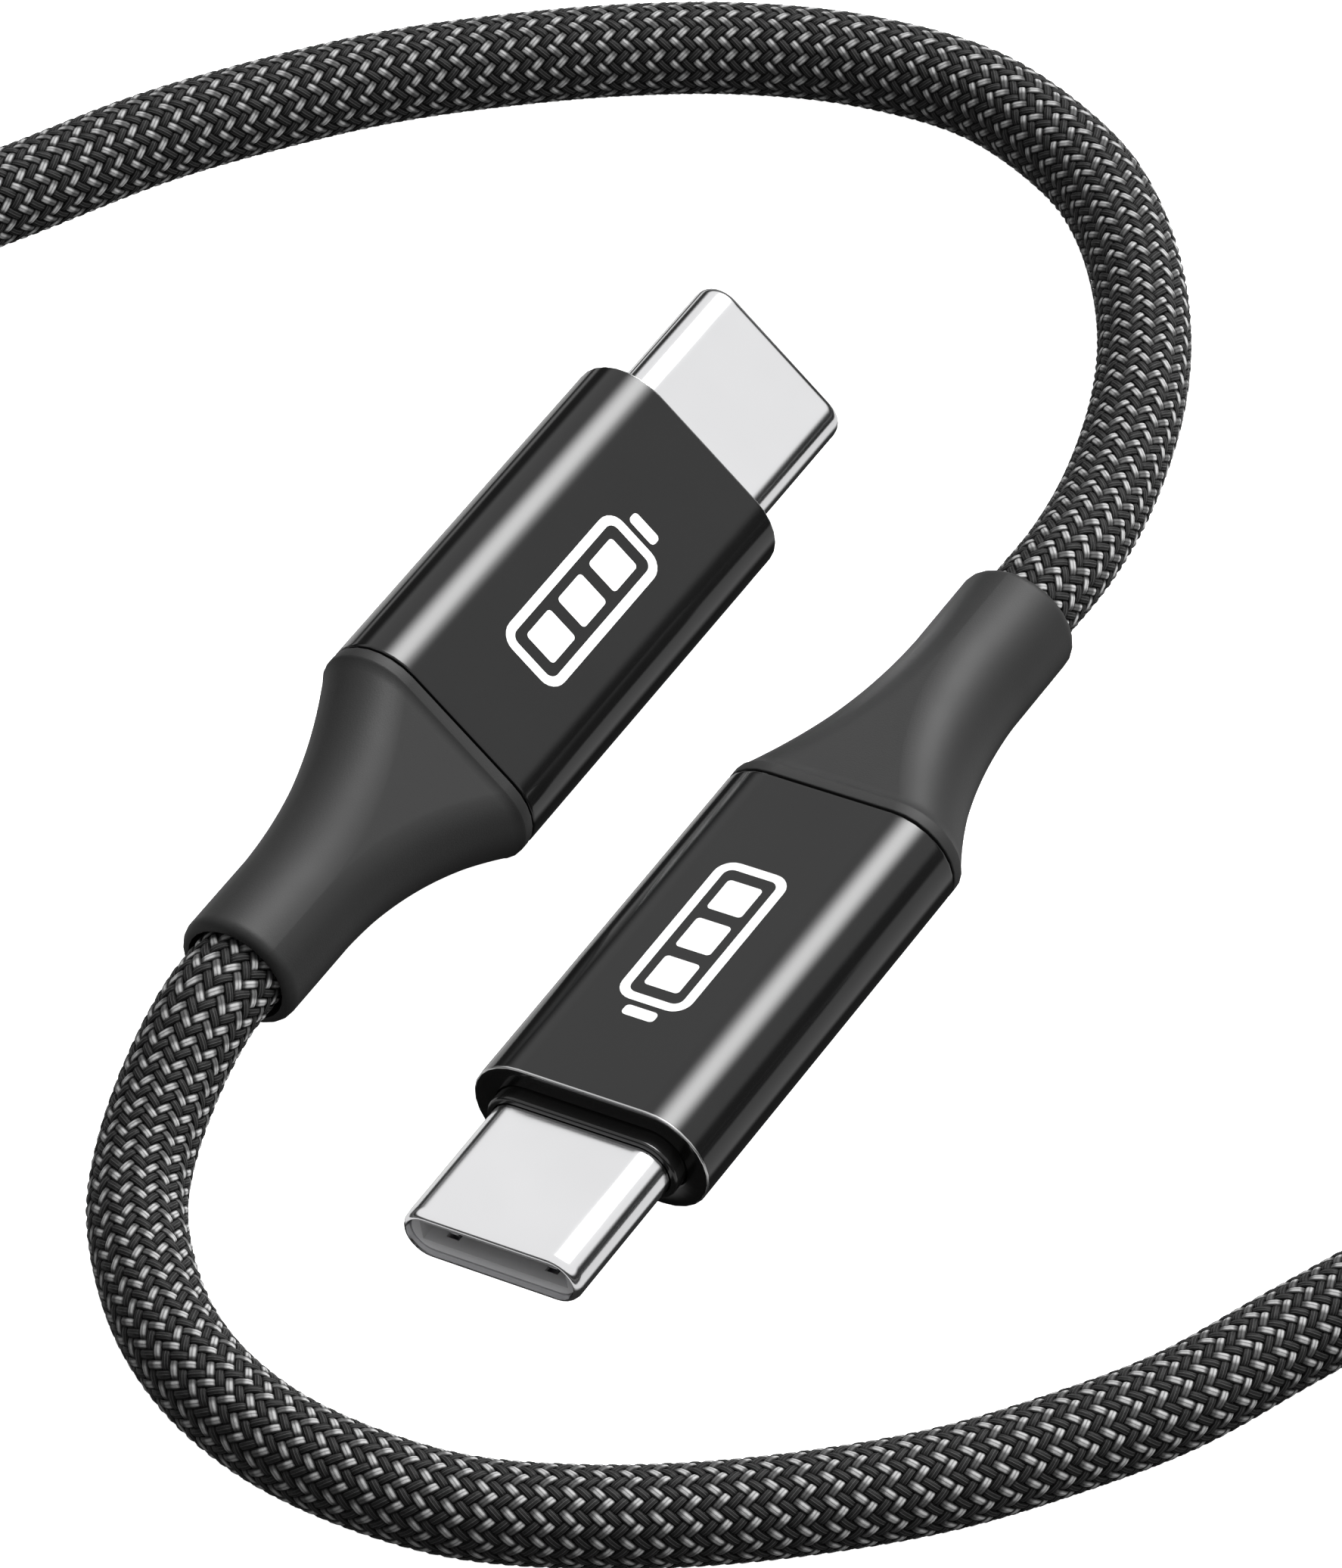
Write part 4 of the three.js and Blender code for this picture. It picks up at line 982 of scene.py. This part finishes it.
boot_loops += [
    ring(BOOT_ROUND, BOOT_REAR + REAR_ROUND + REAR_HOLD),
    *reversed(round_edge(BOOT_ROUND, BOOT_ROUND, BOOT_REAR, 1, REAR_ROUND, REAR_STEPS)),
    ring(BOOT_BORE + BORE_FLARE, BOOT_REAR + BORE_EDGE),
    ring(BOOT_BORE, BOOT_REAR + BORE_HOLD),
    ring(BOOT_BORE, BOOT_REAR + BOOT_BORE_DEPTH),
    ring(JACKET_BORE, BOOT_REAR + BOOT_BORE_DEPTH),
]
boot_black = finish(
    "soft black boot", grey(0.010), grey(0.014), smooth=0.52, rough=0.6, grains=14.0, depth=0.006,
    shine=0.34,
)
on_each_plug("boot", boot_loops, boot_black, "strain_relief_boot", SOFT_EDGES)

# ---- Jacket ends ------------------------------------------------------------------------------
# Inside each boot the braid stops, and the cord's plain extruded jacket goes on alone to the
# crimp, where its cores come out.

JACKET_DIAMETER = 2.8
JACKET_EDGE = 0.1
JACKET_CENTRE = 0.08
JACKET_FRONT = -6.0
JACKET_UNDER_BRAID = 0.5
jacket_rear = BOOT_REAR + BRAID_IN_BOOT - JACKET_UNDER_BRAID
jacket_loops = [
    ring(JACKET_CENTRE, jacket_rear),
    ring(JACKET_DIAMETER, jacket_rear),
    *reversed(round_edge(JACKET_DIAMETER, JACKET_DIAMETER, JACKET_FRONT, -1, JACKET_EDGE)),
    ring(JACKET_CENTRE, JACKET_FRONT),
]
jacket_grey = finish(
    "jacket", grey(0.02), grey(0.03), smooth=0.5, rough=0.6, grains=8.0, depth=0.004
)
jackets = on_each_plug("jacket_end", jacket_loops, jacket_grey, "cable_end")

# ---- Contact inserts --------------------------------------------------------------------------
# The moulded tongue carrier inside each shell, with its slot, latch pockets and spring windows.
# It is injection-moulded plastic, slid in from the front, with every edge slightly broken.

INSERT_EDGE = 0.03
SAME_CORNER = 0.001
FLAT_ENOUGH = math.radians(1.5)
EDGE_ANGLE = math.radians(30)
CREASE_ANGLE = math.radians(40)


def softened(node, name, width, material, body="cable"):
    """A copy of a node's mesh, merged, with its edges rounded."""
    data = bpy.data.objects[node].data.copy()
    data.name = name
    mesh = bmesh.new()
    mesh.from_mesh(data)
    bmesh.ops.remove_doubles(mesh, verts=mesh.verts, dist=SAME_CORNER * MM)
    bmesh.ops.dissolve_limit(mesh, angle_limit=FLAT_ENOUGH, verts=mesh.verts, edges=mesh.edges)
    edges = []
    for edge in mesh.edges:
        if edge.is_manifold and edge.calc_face_angle(0.0) > EDGE_ANGLE:
            edges.append(edge)
    bmesh.ops.bevel(
        mesh, geom=edges, offset=width * MM, offset_type="OFFSET", segments=2, profile=0.5,
        affect="EDGES", clamp_overlap=True,
    )
    bmesh.ops.triangulate(mesh, faces=mesh.faces)
    mesh.to_mesh(data)
    mesh.free()
    data.shade_smooth()
    data.set_sharp_from_angle(angle=CREASE_ANGLE)
    data.materials.clear()
    data.materials.append(material)
    piece = bpy.data.objects.new(name, data)
    bpy.context.scene.collection.objects.link(piece)
    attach(piece, body)
    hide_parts(node)


insert_grey = finish(
    "moulded insert", (0.66, 0.66, 0.67), (0.74, 0.74, 0.75), smooth=0.3, rough=0.42, grains=12.0,
    depth=0.003,
)
for end in PLUGS:
    node = f"contact_insert_{end}"
    softened(node, f"insert_{end}", INSERT_EDGE, insert_grey)

# ---- Metal springs and latches ----------------------------------------------------------------
# Two ground springs lie in windows of each insert, and two latch arms spring in its side
# pockets from one bridge. All are stamped from hard stainless steel strip.

STRIP_EDGE = 0.02
spring_steel = finish(
    "spring steel", (0.62, 0.62, 0.64), (0.74, 0.74, 0.76), smooth=0.16, rough=0.26, grains=25.0,
    depth=0.001, metallic=1.0,
)
for end in PLUGS:
    for which in ("upper", "lower"):
        node = f"ground_spring_{which}_{end}"
        softened(node, f"spring_{which}_{end}", STRIP_EDGE, spring_steel)
    for side in ("right", "left"):
        node = f"latch_arm_{side}_{end}"
        name = f"latch_{side}_arm_{end}"
        softened(node, name, STRIP_EDGE, spring_steel, f"latch_{side}_{end}")

# ---- Inner workings ---------------------------------------------------------------------------
# Contacts, card, marker chip, shield halves, mould, crimp and core wires, all hidden in use.
# Gold-plated contacts are soldered to the card, and the mould is poured round the tinned shield.

INNER_FINISHES = {
    "contact_gold": finish(
        "gold plate", (0.83, 0.60, 0.25), (0.90, 0.68, 0.32), smooth=0.18, rough=0.3,
        grains=20.0, depth=0.001, metallic=1.0,
    ),
    "card_green": finish(
        "solder mask", (0.004, 0.07, 0.02), (0.008, 0.10, 0.03), smooth=0.25, rough=0.4,
        grains=10.0, depth=0.004,
    ),
    "chip_black": finish(
        "chip epoxy", grey(0.012), grey(0.02), smooth=0.5, rough=0.65, grains=25.0, depth=0.004
    ),
    "shield_tin": finish(
        "tin plate", (0.62, 0.62, 0.60), (0.72, 0.72, 0.70), smooth=0.25, rough=0.45,
        grains=15.0, depth=0.002, metallic=1.0,
    ),
    "mould_plastic": finish(
        "inner mould", grey(0.015), grey(0.022), smooth=0.5, rough=0.65, grains=8.0, depth=0.006
    ),
    "crimp_copper": finish(
        "crimp copper", (0.70, 0.33, 0.20), (0.80, 0.42, 0.27), smooth=0.25, rough=0.4,
        grains=12.0, depth=0.003, metallic=1.0,
    ),
    "spring_steel": spring_steel,
}
WIRE_COLOURS = {
    "red": ((0.45, 0.01, 0.01), (0.55, 0.02, 0.02)),
    "black": (grey(0.01), grey(0.015)),
    "green": ((0.01, 0.25, 0.03), (0.02, 0.32, 0.05)),
    "white": (grey(0.70), grey(0.78)),
}
for colour, (dark, light) in WIRE_COLOURS.items():
    INNER_FINISHES[f"wire_{colour}"] = finish(
        f"{colour} wire", dark, light, smooth=0.35, rough=0.5, grains=10.0, depth=0.003
    )
INNER_NODES = {
    "contact_wafer_upper": "contact_gold",
    "contact_wafer_lower": "contact_gold",
    "circuit_card": "card_green",
    "marker_chip": "chip_black",
    "shield_half_upper": "shield_tin",
    "shield_half_lower": "shield_tin",
    "inner_mould": "mould_plastic",
    "crimp_ferrule": "crimp_copper",
    "latch_bridge": "spring_steel",
    "wire_power": "wire_red",
    "wire_ground": "wire_black",
    "wire_data_positive": "wire_white",
    "wire_data_negative": "wire_green",
}
for node, kind in INNER_NODES.items():
    for end in PLUGS:
        for material_slot in bpy.data.objects[f"{node}_{end}"].material_slots:
            material_slot.material = INNER_FINISHES[kind]
